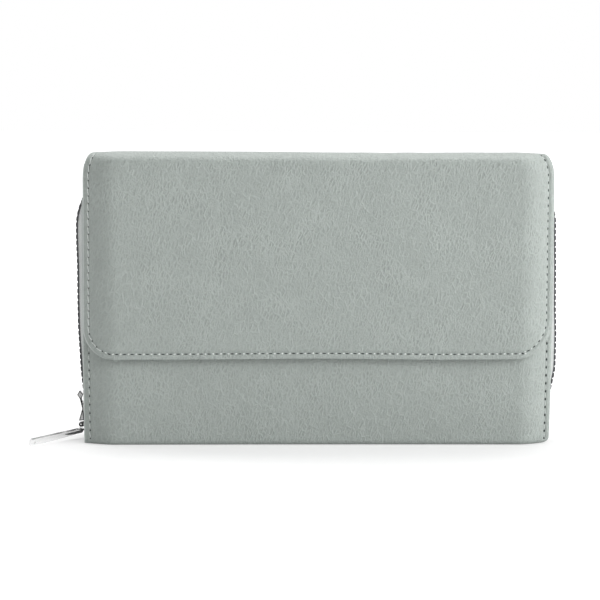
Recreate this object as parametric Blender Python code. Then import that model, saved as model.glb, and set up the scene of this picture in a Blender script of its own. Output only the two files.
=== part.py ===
"""Organizer wallet: a flap-over front pocket joined at its foot to a zip-around compartment.

The wallet stands on its spine. X runs to the right, Y to the back and Z up, in metres. The build
works from the zip plane, and every piece is set back by ZIP_Y, so that the origin is on the flat
strip under the front case.
"""

import math

import bmesh
import bpy
from mathutils import Matrix, Vector

MM = 0.001

# Driving sizes
BODY_WIDTH = 190.0 * MM
HEIGHT = 120.5 * MM
ZIP_Y = 3.5 * MM

# Sheet materials
LEATHER = 1.2 * MM
LINING = 0.5 * MM
CARD_SHEET = 0.5 * MM
TAPE = 0.5 * MM
GUSSET_CLOTH = 0.4 * MM

# Gaps that neighbours keep
REST_GAP = 0.3 * MM
CARD_GAP = 0.6 * MM
SPINE_GAP = 0.3 * MM
SNAP_GAP = 0.2 * MM
OVERRUN = 3.0 * MM

# Depth of each space
PURSE_DEPTH = 6.0 * MM
BILL_SPACE = 4.5 * MM
CARD_LAYERS = 3
FLAP_STANDOFF = 1.7 * MM

# Pillowed faces
PILLOW_ROLL = 14.0 * MM
FRONT_CROWN = 5.4 * MM
BACK_CROWN = 2.0 * MM
FOOT_RADIUS = 3.4 * MM
FRONT_SIDE = 0.5 * MM
FRONT_FLARE = 0.6 * MM
FRONT_FLARE_RISE = 30.0 * MM

# Front pocket and panels
POCKET_MOUTH_DROP = 19.0 * MM
FRONT_LINING_INSET = 5.0 * MM
FRONT_LINING_FOOT = 6.0 * MM
FRONT_LINING_DROP = 1.0 * MM
PANEL_INSET = 0.4 * MM
PANEL_FOOT = 3.0 * MM
PANEL_FLARE = 0.8 * MM
PANEL_CORNER = 21.5 * MM
LINING_SIDE_INSET = 4.6 * MM
LINING_CORNER = 20.0 * MM
LINING_FOOT = 2.5 * MM
LINING_DROP = 4.9 * MM

# Flap
FLAP_OVERHANG = 1.6 * MM
FLAP_HEM_HEIGHT = 35.1 * MM
FLAP_CORNER_RADIUS = 12.5 * MM
FLAP_FOLD_RISE = 7.0 * MM
FLAP_FOLD_SHARE = 0.85
FLAP_TOP_NARROWING = 4.4 * MM
FLAP_NARROWING_RISE = 11.0 * MM
FLAP_SHOULDER_DROP = 0.3 * MM
FLAP_LINING_INSET = 1.5 * MM
HINGE_STRIP_INSET = 7.0 * MM
HINGE_STRIP_GAP = 0.6 * MM
HINGE_STRIP_DROP = 3.2 * MM
FLAP_AXIS_DROP = 1.5 * MM

# Magnetic snap
SNAP_RISE = 9.8 * MM
SNAP_RADIUS = 7.0 * MM
SNAP_DISC = 0.5 * MM
SNAP_POST_RADIUS = 2.4 * MM
SNAP_POST_HEIGHT = 0.6 * MM
SNAP_HOLE_RADIUS = 2.8 * MM

# Zip around the compartment
ZIP_OVERHANG = 4.1 * MM
ZIP_TOP_DROP = 6.5 * MM
ZIP_CORNER_RADIUS = 25.0 * MM
LEFT_SLANT = math.radians(6.4)
LEFT_SLANT_SHARE = 0.31
LEFT_BEND_SHARE = 0.63
RIGHT_SLANT = math.radians(10.8)
RIGHT_SLANT_SHARE = 0.217
RIGHT_BEND_SHARE = 0.325
ZIP_FOOT = 6.0 * MM
COVER_ROW_FOOT = 17.5 * MM
TAPE_LAP = 4.2 * MM
TOOTH_PITCH = 2.5 * MM
TOOTH_ROOT_WIDTH = 1.0 * MM
TOOTH_TIP_WIDTH = 0.75 * MM
TOOTH_THICKNESS = 2.0 * MM
TOOTH_REACH = 0.5 * MM
RAIL_NEAR = 1.5 * MM
RAIL_FAR = 3.4 * MM

# Main zip slider and pull
SLIDER_FOOT = 4.4 * MM
SLIDER_ROOM = 0.4 * MM
PULL_FALL = math.radians(2.9)
PULL_YAW = math.radians(50.0)
PULL_LEAN = math.radians(-41.0)

# Coin purse
PURSE_SIDE_ROOM = 11.0 * MM
PURSE_HEADROOM = 26.5 * MM
PURSE_FOOT = 4.0 * MM
PURSE_WALL = 0.8 * MM
PURSE_TAB = 0.4 * MM
COIN_ZIP_INSET = 4.0 * MM
COIN_ZIP_LIFT = 1.3 * MM
COIN_TAPE_DROP = 6.0 * MM
COIN_PITCH = 3.0 * MM
COIN_TOOTH_ROOT = 1.2 * MM
COIN_TOOTH_TIP = 0.9 * MM
COIN_TOOTH_THICKNESS = 1.5 * MM
COIN_REACH = 0.4 * MM
COIN_RAIL_NEAR = 0.9 * MM
COIN_RAIL_FAR = 1.8 * MM
COIN_SLIDER_PARK = 24.0 * MM
COIN_PULL_FALL = math.radians(1.0)

# Card pockets and gussets
CARD_SIDE_INSET = 2.4 * MM
CARD_FOOT = 5.0 * MM
CARD_HEADROOM = 20.5 * MM
CARD_STEP_DOWN = 15.0 * MM
CARD_CORNER = 5.0 * MM
GUSSET_FOOT = 6.0 * MM
GUSSET_DROP = 6.0 * MM
GUSSET_LAP = 1.0 * MM
GUSSET_PLEAT = 10.0 * MM
GUSSET_APEX_BACK = 1.6 * MM

# Depths from the zip plane; the front case and the back cover share them
PURSE_FACE = PURSE_DEPTH / 2
CARDS_FACE = PURSE_FACE + BILL_SPACE
CARD_PITCH = CARD_SHEET + CARD_GAP
LINING_FACE = CARDS_FACE + CARD_LAYERS * CARD_PITCH
PANEL_FACE = LINING_FACE + LINING + REST_GAP
PANEL_OUTER = PANEL_FACE + LEATHER
FRONT_EDGE = PANEL_OUTER + REST_GAP + LEATHER
FLAP_EDGE = FRONT_EDGE + FLAP_STANDOFF + LINING + REST_GAP + LEATHER

BODY_HALF = BODY_WIDTH / 2
FLAP_HALF = BODY_HALF + FLAP_OVERHANG
ZIP_TOP = HEIGHT - ZIP_TOP_DROP
ZIP_HALF = BODY_HALF + ZIP_OVERHANG
LINING_HALF = BODY_HALF - LINING_SIDE_INSET
CARD_HALF = LINING_HALF - CARD_SIDE_INSET
CARD_TOP = ZIP_TOP - CARD_HEADROOM
PURSE_HALF = BODY_HALF - PURSE_SIDE_ROOM
PURSE_TOP = ZIP_TOP - PURSE_HEADROOM
GUSSET_TOP = PURSE_TOP - GUSSET_DROP
GUSSET_INNER = PURSE_HALF - GUSSET_LAP
GUSSET_APEX = PURSE_HALF - GUSSET_PLEAT
HINGE_STRIP_HALF = BODY_HALF - HINGE_STRIP_INSET
SNAP_HEIGHT = FLAP_HEM_HEIGHT + SNAP_RISE
PANEL_TOP = ZIP_TOP - (ZIP_CORNER_RADIUS - PANEL_CORNER) + PANEL_FLARE
TAB_FOOT = LEATHER + REST_GAP
MOUTH = HEIGHT - POCKET_MOUTH_DROP
HINGE_STRIP_FOOT = MOUTH + HINGE_STRIP_GAP
FLAP_SHEET = LEATHER + REST_GAP + LINING
FLAP_AXIS = Vector((0.0, -PANEL_OUTER, HEIGHT - FLAP_AXIS_DROP))
ORIGIN = Vector((0.0, 0.0, 0.0))
SET_BACK = Matrix.Translation((0.0, ZIP_Y, 0.0))

# Shares of a face's roll that carry its columns, and of its height that carry its rows
ROLL_SHARES = (0.0, 0.12, 0.3, 0.6, 1.0)
ROW_SHARES = (0.0, 0.35, 0.7, 1.0)
TURN_STEPS = 3
CORNER_STEPS = 5
TIP_STEPS = 3
FRONT = -1
BACK = 1
ROUND_SIDES = 16
SHARP_ANGLE = math.radians(35.0)


def material(name, colour, roughness, metallic=0.0):
    """A Principled material with one colour."""
    made = bpy.data.materials.new(name)
    made.use_nodes = True
    shader = made.node_tree.nodes["Principled BSDF"]
    shader.inputs["Base Color"].default_value = (*colour, 1.0)
    shader.inputs["Roughness"].default_value = roughness
    shader.inputs["Metallic"].default_value = metallic
    made.diffuse_color = (*colour, 1.0)
    return made


def add_object(name, mesh, finish, frame=None, pivot=ORIGIN, smooth=False):
    """Links a mesh as a named object: drawn in frame, or in place with its origin at pivot."""
    mesh.materials.append(finish)
    if smooth:
        mesh.shade_smooth()
        mesh.set_sharp_from_angle(angle=SHARP_ANGLE)
    made = bpy.data.objects.new(name, mesh)
    if frame is None:
        mesh.transform(Matrix.Translation(-pivot))
        made.matrix_world = SET_BACK @ Matrix.Translation(pivot)
    else:
        made.matrix_world = SET_BACK @ frame
    bpy.context.scene.collection.objects.link(made)
    return made


def mesh_from(name, points, faces):
    """A closed mesh with its normals turned outwards."""
    shape = bmesh.new()
    corners = [shape.verts.new(p) for p in points]
    for face in faces:
        shape.faces.new([corners[i] for i in face])
    bmesh.ops.recalc_face_normals(shape, faces=shape.faces)
    mesh = bpy.data.meshes.new(name)
    shape.to_mesh(mesh)
    shape.free()
    return mesh


def sheet(name, outer, inner, finish, pivot=ORIGIN):
    """A closed sheet between two grids of points with the same rows and columns."""
    rows, columns = len(outer), len(outer[0])
    points = [p for row in outer for p in row] + [p for row in inner for p in row]
    below = rows * columns

    def at(row, column):
        return row * columns + column

    faces = []
    for r in range(rows - 1):
        for c in range(columns - 1):
            ring = [at(r, c), at(r, c + 1), at(r + 1, c + 1), at(r + 1, c)]
            faces.append(ring)
            faces.append([below + i for i in reversed(ring)])
    rim = [at(0, c) for c in range(columns)]
    rim += [at(r, columns - 1) for r in range(1, rows)]
    rim += [at(rows - 1, c) for c in range(columns - 2, -1, -1)]
    rim += [at(r, 0) for r in range(rows - 2, 0, -1)]
    for a, b in zip(rim, rim[1:] + rim[:1]):
        faces.append([a, b, below + b, below + a])
    return add_object(name, mesh_from(name, points, faces), finish, pivot=pivot, smooth=True)


def prism(name, outline, low, high, finish, place, frame=None, pivot=ORIGIN, smooth=False):
    """An outline of two-number points, swept from low to high by place(a, b, height)."""
    count = len(outline)
    points = [place(a, b, low) for a, b in outline] + [place(a, b, high) for a, b in outline]
    faces = [list(range(count)), list(range(2 * count - 1, count - 1, -1))]
    faces += [[i, (i + 1) % count, count + (i + 1) % count, count + i] for i in range(count)]
    return add_object(name, mesh_from(name, points, faces), finish, frame, pivot, smooth)


def upright(x, z, depth):
    """A point of a sheet that stands across the wallet's depth."""
    return Vector((x, depth, z))


def flat(a, b, height):
    """A point of a piece drawn flat and raised by height."""
    return Vector((a, b, height))


def across(a, b, depth):
    """A point of a slider's profile, drawn outwards and along, at a place across it."""
    return Vector((a, depth, b))


def box_outline(a_low, a_high, b_low, b_high):
    """Four corners."""
    return [(a_low, b_low), (a_high, b_low), (a_high, b_high), (a_low, b_high)]


def arc(centre, radius, start, end, steps):
    """Points of an arc, both ends included, with its angles in radians."""
    angles = [start + (end - start) * i / steps for i in range(steps + 1)]
    return [(centre[0] + radius * math.cos(a), centre[1] + radius * math.sin(a)) for a in angles]


def disc_outline(radius, centre=(0.0, 0.0)):
    """A round outline."""
    turn = 2 * math.pi / ROUND_SIDES
    angles = [i * turn for i in range(ROUND_SIDES)]
    return [(centre[0] + radius * math.cos(a), centre[1] + radius * math.sin(a)) for a in angles]


def arched_outline(foot_half, half, foot, top, radius):
    """An upright panel's outline: square at the foot and rounded at its two upper corners."""
    right = arc((half - radius, top - radius), radius, 0.0, math.pi / 2, CORNER_STEPS)
    left = [(-x, z) for x, z in reversed(right)]
    return [(-foot_half, foot), (foot_half, foot), *right, *left]


def guide(made):
    """Marks a shape as a cutter or a joined shape, and not as a piece."""
    made.hide_render = True
    made.display_type = "WIRE"
    return made


def combine(target, other, operation):
    """Cuts a shape out of a piece, or adds it, as one solid."""
    guide(other)
    step = target.modifiers.new(operation.lower(), "BOOLEAN")
    step.operation = operation
    step.solver = "EXACT"
    step.object = other


def pillow(distance):
    """How far a stuffed face has risen at this distance from its edge, from 0 to 1."""
    return math.sin(math.pi / 2 * min(max(distance / PILLOW_ROLL, 0.0), 1.0))


def columns_for(half):
    """The columns of a pillowed face, as distances from its middle."""
    right = [half - share * PILLOW_ROLL for share in ROLL_SHARES]
    return [-x for x in right] + [0.0] + right[::-1]


def between(low, high):
    """Row heights from low to high."""
    return [low + (high - low) * share for share in ROW_SHARES]


def front_half(z):
    """Half the width of the front panel, which widens a little above its foot."""
    rise = math.sin(math.pi / 2 * min(max(z / FRONT_FLARE_RISE, 0.0), 1.0))
    return BODY_HALF + FRONT_SIDE + FRONT_FLARE * rise


def back_half(z):
    """Half the width of the back panel."""
    return BODY_HALF - PANEL_INSET + PANEL_FLARE * min(max(z / HEIGHT, 0.0), 1.0)


def case_rows(top, foot, round_top):
    """A cover's rows from its top down, as kind, value and how far its sides are drawn in."""
    rows = []
    face_top = top - round_top
    if round_top:
        for i in range(CORNER_STEPS):
            angle = math.pi / 2 * (CORNER_STEPS - i) / CORNER_STEPS
            drawn = round_top * (1.0 - math.cos(angle))
            rows.append(("face", face_top + round_top * math.sin(angle), drawn))
    rows += [("face", z, 0.0) for z in between(face_top, foot if foot else FOOT_RADIUS)]
    if not foot:
        rows += [("turn", math.pi / 2 * (i + 1) / TURN_STEPS, 0.0) for i in range(TURN_STEPS)]
        rows.append(("base", 0.0, 0.0))
    return rows


def case_grid(side, edge, crown, offset, top, half_at, inset=0.0, foot=0.0, round_top=0.0):
    """A cover's grid: its pillowed face, its turned foot and the strip under it up to the spine.

    offset sinks the grid into the sheet, inset draws its sides in, and a foot above zero ends it
    on the face, with no turn.
    """
    grid = []
    for kind, value, drawn in case_rows(top, foot, round_top):
        z = value if kind == "face" else 0.0
        half = half_at(z)
        line = []
        for column in columns_for(half):
            x = column * (half - drawn - inset) / half
            rise = pillow(half - abs(x))
            if round_top and kind == "face":
                rise *= pillow(top - z + PILLOW_ROLL / 2)
            depth = edge + crown * rise
            reach = FOOT_RADIUS - offset
            if kind == "face":
                y, z_here = depth - offset, z
            elif kind == "turn":
                y = depth - FOOT_RADIUS + reach * math.cos(value)
                z_here = FOOT_RADIUS - reach * math.sin(value)
            else:
                y, z_here = SPINE_GAP, offset
            line.append(Vector((x, side * y, z_here)))
        grid.append(line)
    return grid


def case_sheet(name, finish, thickness, offset, **shape):
    """One layer of a cover, from its outer grid to its inner one."""
    outer = case_grid(offset=offset, **shape)
    inner = case_grid(offset=offset + thickness, **shape)
    return sheet(name, outer, inner, finish)


def flap_narrowing(kind, value):
    """How far each of the flap's sides is drawn in towards the fold, as a rounded shoulder."""
    level = 0.0
    if kind == "fold":
        level = FLAP_FOLD_RISE * (1.0 - math.cos(value))
    elif kind == "face":
        level = HEIGHT - value
    share = 1.0 - min(level / FLAP_NARROWING_RISE, 1.0)
    return FLAP_TOP_NARROWING * (1.0 - math.sqrt(1.0 - share * share))


def flap_grid(offset, inset):
    """The flap's grid: from the hinge over the top fold and down the front to the rounded hem."""
    hem = FLAP_HEM_HEIGHT + inset
    corner = FLAP_CORNER_RADIUS - inset
    rows = [("top", 0.0, 0.0)]
    rows += [("fold", math.pi / 2 * i / TURN_STEPS, 0.0) for i in range(TURN_STEPS + 1)]
    rows.append(("face", HEIGHT - FLAP_NARROWING_RISE, 0.0))
    rows += [("face", z, 0.0) for z in between(HEIGHT - FLAP_NARROWING_RISE, hem + corner)[1:]]
    for i in range(1, CORNER_STEPS + 1):
        angle = math.pi / 2 * i / CORNER_STEPS
        z = hem + corner * (1.0 - math.sin(angle))
        rows.append(("face", z, corner * (1.0 - math.cos(angle))))
    grid = []
    for kind, value, drawn in rows:
        half = FLAP_HALF - flap_narrowing(kind, value)
        line = []
        for column in columns_for(half):
            x = column * (half - drawn - inset) / half
            rise = pillow(half - abs(x))
            depth = FLAP_EDGE + FRONT_CROWN * rise
            fold = FLAP_FOLD_SHARE * (depth - PANEL_OUTER)
            top = HEIGHT - FLAP_SHOULDER_DROP * (1.0 - rise)
            if kind == "top":
                y, z = PANEL_OUTER, top - offset
            elif kind == "fold":
                y = depth - fold + (fold - offset) * math.sin(value)
                z = top - FLAP_FOLD_RISE + (FLAP_FOLD_RISE - offset) * math.cos(value)
            else:
                y, z = depth - offset, value
            line.append(Vector((x, -y, z)))
        grid.append(line)
    return grid


class RimSide:
    """One side of the closed zip below its corner: straight down, a slow bend and a slanted foot."""

    def __init__(self, slant, slant_share, bend_share):
        corner_foot = ZIP_TOP - ZIP_CORNER_RADIUS
        height = corner_foot - ZIP_FOOT
        self.slant = slant
        self.bend_top = ZIP_FOOT + bend_share * height
        self.slant_top = ZIP_FOOT + slant_share * height
        self.straight_run = corner_foot - self.bend_top
        self.bend_radius = (self.bend_top - self.slant_top) / math.sin(slant)
        self.bend_run = self.bend_radius * slant
        self.slant_half = ZIP_HALF - self.bend_radius * (1.0 - math.cos(slant))
        self.slant_run = (self.slant_top - ZIP_FOOT) / math.cos(slant)
        self.run = self.straight_run + self.bend_run + self.slant_run

    def point(self, run):
        """Place and outward normal at an arc length below the corner, for the right-hand side."""
        if run <= self.straight_run:
            return ZIP_HALF, self.bend_top + self.straight_run - run, 1.0, 0.0
        run -= self.straight_run
        if run <= self.bend_run:
            angle = run / self.bend_radius
            nx, nz = math.cos(angle), -math.sin(angle)
            x = ZIP_HALF - self.bend_radius * (1.0 - nx)
            return x, self.bend_top + self.bend_radius * nz, nx, nz
        run -= self.bend_run
        nx, nz = math.cos(self.slant), -math.sin(self.slant)
        return self.slant_half + run * nz, self.slant_top - run * nx, nx, nz


class Rim:
    """The closed zip's centreline in the X-Z plane, by arc length from the middle of its top."""

    def __init__(self):
        self.top_run = ZIP_HALF - ZIP_CORNER_RADIUS
        self.corner_run = ZIP_CORNER_RADIUS * math.pi / 2
        self.left = RimSide(LEFT_SLANT, LEFT_SLANT_SHARE, LEFT_BEND_SHARE)
        self.right = RimSide(RIGHT_SLANT, RIGHT_SLANT_SHARE, RIGHT_BEND_SHARE)
        self.left_length = self.top_run + self.corner_run + self.left.run
        self.right_length = self.top_run + self.corner_run + self.right.run

    def at_height(self, z):
        """Arc length to the point of the left slanted foot at height z."""
        return self.left_length - (z - ZIP_FOOT) / math.cos(self.left.slant)

    def point(self, length):
        """Place and outward normal, as x, z, nx and nz."""
        side, shape = (1.0, self.right) if length >= 0 else (-1.0, self.left)
        run = abs(length)
        if run <= self.top_run:
            return side * run, ZIP_TOP, 0.0, 1.0
        run -= self.top_run
        if run <= self.corner_run:
            angle = run / ZIP_CORNER_RADIUS
            nx, nz = math.sin(angle), math.cos(angle)
            x = self.top_run + ZIP_CORNER_RADIUS * nx
            return side * x, ZIP_TOP - ZIP_CORNER_RADIUS * (1.0 - nz), side * nx, nz
        x, z, nx, nz = shape.point(run - self.corner_run)
        return side * x, z, side * nx, nz

    def side_stations(self, shape):
        """Arc lengths where one half of a sheet that follows the rim needs a row."""
        half = [self.top_run]
        half += [self.top_run + self.corner_run * (i + 1) / CORNER_STEPS for i in range(CORNER_STEPS)]
        half.append(half[-1] + shape.straight_run)
        half.append(half[-1] + shape.bend_run / 2)
        half.append(half[-1] + shape.bend_run / 2)
        return half

    def stations(self, left_foot):
        """The rows of such a sheet, from its foot on the left to its foot on the right."""
        left = [-s for s in reversed(self.side_stations(self.left))]
        right = self.side_stations(self.right)
        return [-self.at_height(left_foot), *left, 0.0, *right, self.right_length]


RIM = Rim()


def rim_place(length, lift, depth):
    """The point at an arc length of the zip, lifted off its centreline, at a depth in Y."""
    x, z, nx, nz = RIM.point(length)
    return Vector((x + nx * lift, depth, z + nz * lift))


def mouth_place(length, lift, depth):
    """The same for the coin purse's straight zip."""
    return Vector((length, depth, PURSE_TOP + COIN_ZIP_LIFT + lift))


class Row:
    """The sizes of one row of zip teeth."""

    def __init__(self, pitch, root, tip, thickness, reach, near, far):
        self.pitch = pitch
        self.root = root
        self.tip = tip
        self.thickness = thickness
        self.reach = reach
        self.near = near
        self.far = far


RIM_ROW = Row(
    TOOTH_PITCH, TOOTH_ROOT_WIDTH, TOOTH_TIP_WIDTH, TOOTH_THICKNESS, TOOTH_REACH, RAIL_NEAR, RAIL_FAR
)
COIN_ROW = Row(
    COIN_PITCH,
    COIN_TOOTH_ROOT,
    COIN_TOOTH_TIP,
    COIN_TOOTH_THICKNESS,
    COIN_REACH,
    COIN_RAIL_NEAR,
    COIN_RAIL_FAR,
)


def comb(name, side, start, end, row, place, finish):
    """A row of zip teeth on its cord, as one solid with a tapered tooth at each pitch."""
    shift = 0.0 if side == FRONT else row.pitch / 2
    first = math.ceil((start + row.root - shift) / row.pitch)
    last = math.floor((end - row.root - shift) / row.pitch)
    middles = [i * row.pitch + shift for i in range(first, last + 1)]
    points, faces = [], []

    def pair(length, depth):
        points.append(place(length, row.thickness / 2, side * depth))
        points.append(place(length, -row.thickness / 2, side * depth))
        return len(points) - 2

    def both(ring):
        faces.append(list(ring))
        faces.append([i + 1 for i in reversed(ring)])

    def wall(a, b):
        faces.append([a, a + 1, b + 1, b])

    near, far = pair(start, row.near), pair(start, row.far)
    wall(near, far)
    for middle in middles:
        root_a, far_a = pair(middle - row.root / 2, row.near), pair(middle - row.root / 2, row.far)
        both([far, near, root_a, far_a])
        wall(near, root_a)
        wall(far, far_a)
        tip_a, tip_b = pair(middle - row.tip / 2, -row.reach), pair(middle + row.tip / 2, -row.reach)
        root_b, far_b = pair(middle + row.root / 2, row.near), pair(middle + row.root / 2, row.far)
        both([root_a, tip_a, tip_b, root_b])
        both([far_a, root_a, root_b, far_b])
        wall(root_a, tip_a)
        wall(tip_a, tip_b)
        wall(tip_b, root_b)
        wall(far_a, far_b)
        near, far = root_b, far_b
    near_end, far_end = pair(end, row.near), pair(end, row.far)
    both([far, near, near_end, far_end])
    wall(near, near_end)
    wall(far, far_end)
    wall(near_end, far_end)
    return add_object(name, mesh_from(name, points, faces), finish)


def rim_tape(name, side, left_foot, finish):
    """The slanted strip of tape from a row's cord to the inside of its panel."""
    near = (0.0, RAIL_FAR + REST_GAP)
    far = (-TAPE_LAP, PANEL_FACE - REST_GAP)
    grids = []
    for half in (TAPE / 2, -TAPE / 2):
        grids.append(
            [
                [rim_place(s, near[0] + half, side * near[1]), rim_place(s, far[0] + half, side * far[1])]
                for s in RIM.stations(left_foot)
            ]
        )
    return sheet(name, grids[0], grids[1], finish)


def card_pockets(side_name, side, finish):
    """The stepped card pockets, the lowest one nearest to the coin purse."""
    for layer in range(CARD_LAYERS):
        near = CARDS_FACE + layer * CARD_PITCH
        top = CARD_TOP - (CARD_LAYERS - 1 - layer) * CARD_STEP_DOWN
        outline = arched_outline(CARD_HALF, CARD_HALF, CARD_FOOT, top, CARD_CORNER)
        name = f"{side_name}_card_pocket_{layer + 1}"
        prism(name, outline, side * near, side * (near + CARD_SHEET), finish, upright)


def gusset(name, side, hand, finish):
    """A folded side gusset between the coin purse and a cover."""
    outer_y = CARDS_FACE - REST_GAP
    inner_y = PURSE_FACE + REST_GAP
    middle_y = (outer_y + inner_y) / 2
    section = [
        (CARD_HALF, outer_y),
        (GUSSET_APEX, middle_y),
        (GUSSET_INNER, inner_y),
        (GUSSET_INNER, inner_y + GUSSET_CLOTH),
        (GUSSET_APEX + GUSSET_APEX_BACK, middle_y),
        (CARD_HALF, outer_y - GUSSET_CLOTH),
    ]
    points = [Vector((hand * x, side * y, GUSSET_FOOT)) for x, y in section]
    points += [Vector((hand * x, side * y, GUSSET_TOP)) for x, y in section]
    count = len(section)
    caps = [[0, 1, 4, 5], [1, 2, 3, 4]]
    faces = caps + [[count + i for i in reversed(cap)] for cap in caps]
    for i in range(count):
        after = (i + 1) % count
        faces.append([i, after, count + after, count + i])
    return add_object(name, mesh_from(name, points, faces), finish)


class SliderSize:
    """The sizes of a zip slider, drawn with X outwards, Y across and Z along its zip."""

    length = 11.0 * MM
    nose_half = 5.0 * MM
    tail_half = 4.5 * MM
    flange = 0.6 * MM
    flange_foot = 0.6 * MM
    plate = 0.6 * MM
    back_half = 4.4 * MM
    back_plate = 0.8 * MM
    ear_inner = 0.75 * MM
    ear = 0.6 * MM
    ear_radius = 0.95 * MM
    pin_radius = 0.35 * MM
    pin_lift = 1.45 * MM
    pin_along = 3.6 * MM
    cap_half = 1.2 * MM
    cap_rise = 2.05 * MM
    cap_lip = 0.3 * MM
    cap_gap = 1.6 * MM
    cap_length = 4.7 * MM
    lip_half = 1.2 * MM
    lip_bar = 0.6 * MM
    lip_root = 2.2 * MM
    lip_rise = 0.7 * MM
    lip_reach = 3.7 * MM
    knob_across = 1.0 * MM
    knob_along = 1.5 * MM
    channel_half = TOOTH_THICKNESS / 2 + SLIDER_ROOM


class CoinSliderSize(SliderSize):
    """The coin zip's slider is the same kind, and smaller."""

    length = 8.0 * MM
    nose_half = 3.2 * MM
    tail_half = 2.9 * MM
    flange = 0.6 * MM
    flange_foot = 0.5 * MM
    back_half = 0.9 * MM
    back_plate = 0.6 * MM
    cap_rise = 0.0
    ear_radius = 1.05 * MM
    pin_lift = 1.3 * MM
    pin_along = 2.6 * MM
    lip_root = 1.8 * MM
    lip_reach = 0.9 * MM
    lip_rise = 0.4 * MM
    knob_across = 0.6 * MM
    knob_along = 0.6 * MM
    channel_half = COIN_TOOTH_THICKNESS / 2 + SLIDER_ROOM


def make_slider(name, size, frame, finish):
    """A slider's outer casting: channel, ears with their pin, cap, and a lip with its knob."""
    half = size.length / 2
    roof = size.channel_half
    top = roof + size.plate

    def tapered(a, b, along):
        share = (half - along) / size.length
        wall = size.tail_half + (size.nose_half - size.tail_half) * share
        return Vector((b, math.copysign(wall - abs(abs(a) - size.tail_half), a), along))

    wide, slim = size.tail_half, size.tail_half - size.flange
    section = [
        (-wide, size.flange_foot),
        (-wide, top),
        (wide, top),
        (wide, size.flange_foot),
        (slim, size.flange_foot),
        (slim, roof),
        (-slim, roof),
        (-slim, size.flange_foot),
    ]
    made = prism(name, section, -half, half, finish, tapered, frame)
    pin = (top + size.pin_lift, -size.pin_along)
    root = top - size.plate / 2
    ear = [(root, pin[1] - size.ear_radius)]
    ear += arc(pin, size.ear_radius, -math.pi / 2, math.pi / 2, CORNER_STEPS)
    ear += [(root, pin[1] + size.ear_radius)]
    for hand in (-1, 1):
        low, high = hand * size.ear_inner, hand * (size.ear_inner + size.ear)
        shape = prism(f"{name}_ear", ear, low, high, finish, across, frame)
        combine(made, shape, "UNION")
    reach = size.ear_inner + size.ear / 2
    outline = disc_outline(size.pin_radius, pin)
    combine(made, prism(f"{name}_pin", outline, -reach, reach, finish, across, frame), "UNION")
    if size.cap_rise:
        cap_foot = pin[1] + size.cap_gap
        cap = [
            (root, cap_foot),
            (top + size.cap_rise, cap_foot),
            (top + size.cap_rise, cap_foot + size.cap_lip),
            (top + size.cap_lip, cap_foot + size.cap_length),
            (root, cap_foot + size.cap_length + size.cap_lip),
        ]
        cap_shape = prism(f"{name}_cap", cap, -size.cap_half, size.cap_half, finish, across, frame)
        combine(made, cap_shape, "UNION")
    tip = half + size.lip_reach
    knob = (top + size.lip_rise, tip)
    lip = [
        (root, half - size.lip_root - size.lip_bar),
        (top + size.lip_bar / 2, half - size.lip_root),
        (knob[0] + size.lip_bar / 2, tip - size.knob_along),
        (knob[0] + size.knob_across, tip),
        (knob[0], tip + size.knob_along),
        (knob[0] - size.knob_across, tip),
        (knob[0] - size.lip_bar / 2, tip - size.knob_along),
        (root, half - size.lip_bar),
    ]
    lip_shape = prism(f"{name}_lip", lip, -size.lip_half, size.lip_half, finish, across, frame)
    combine(made, lip_shape, "UNION")
    return made, pin


def make_back_plate(name, size, frame, finish):
    """A slider's plate on the inner side of its zip."""
    half = size.length / 2
    outline = box_outline(-size.channel_half - size.back_plate, -size.channel_half, -half, half)
    return prism(name, outline, -size.back_half, size.back_half, finish, across, frame)


class PullSize:
    """The sizes of a zip pull, drawn flat with X along it from its eye."""

    length = 32.5 * MM
    half = 1.6 * MM
    neck_half = 0.7 * MM
    neck_depth = 0.6 * MM
    crank = 2.7 * MM
    root_reach = 0.6 * MM
    stem_half = 0.9 * MM
    stem_length = 1.5 * MM
    shoulder = 3.0 * MM
    tip_corner = 0.9 * MM
    thickness = 0.8 * MM
    eye_radius = 0.95 * MM
    eye_hole = 0.55 * MM
    tip_hole = 0.5 * MM
    tip_inset = 3.0 * MM


class CoinPullSize(PullSize):
    """The coin zip's pull."""

    length = 16.0 * MM
    neck_half = 1.0 * MM
    neck_length = 3.4 * MM
    shoulder = 5.6 * MM
    thickness = 0.7 * MM
    eye_radius = 1.1 * MM
    eye_hole = 0.7 * MM
    tip_inset = 2.2 * MM


def drill(made, name, radius, centre, place, frame, finish):
    """Cuts a round hole through a pull."""
    cutter = disc_outline(radius, centre)
    shape = prism(f"{name}_{made.name}", cutter, -OVERRUN, OVERRUN, finish, place, frame)
    combine(made, shape, "DIFFERENCE")


def rounded_tip(size):
    """The end of a pull's outline, with its corners rounded."""
    reach = size.length - size.tip_corner
    side = size.half - size.tip_corner
    lower = arc((reach, -side), size.tip_corner, -math.pi / 2, 0.0, TIP_STEPS)
    upper = arc((reach, side), size.tip_corner, 0.0, math.pi / 2, TIP_STEPS)
    return [*lower, *upper]


def make_pull(name, size, frame, finish):
    """A flat tab with an eye at its root and a small hole in its rounded tip."""
    root = arc((0.0, 0.0), size.eye_radius, math.pi / 3, math.pi * 5 / 3, CORNER_STEPS + 2)
    outline = [
        (size.neck_length, -size.neck_half),
        (size.shoulder, -size.half),
        *rounded_tip(size),
        (size.shoulder, size.half),
        (size.neck_length, size.neck_half),
        *root,
    ]
    made = prism(name, outline, -size.thickness / 2, size.thickness / 2, finish, flat, frame)
    drill(made, "eye", size.eye_hole, (0.0, 0.0), flat, frame, finish)
    drill(made, "tip", size.tip_hole, (size.length - size.tip_inset, 0.0), flat, frame, finish)


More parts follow.
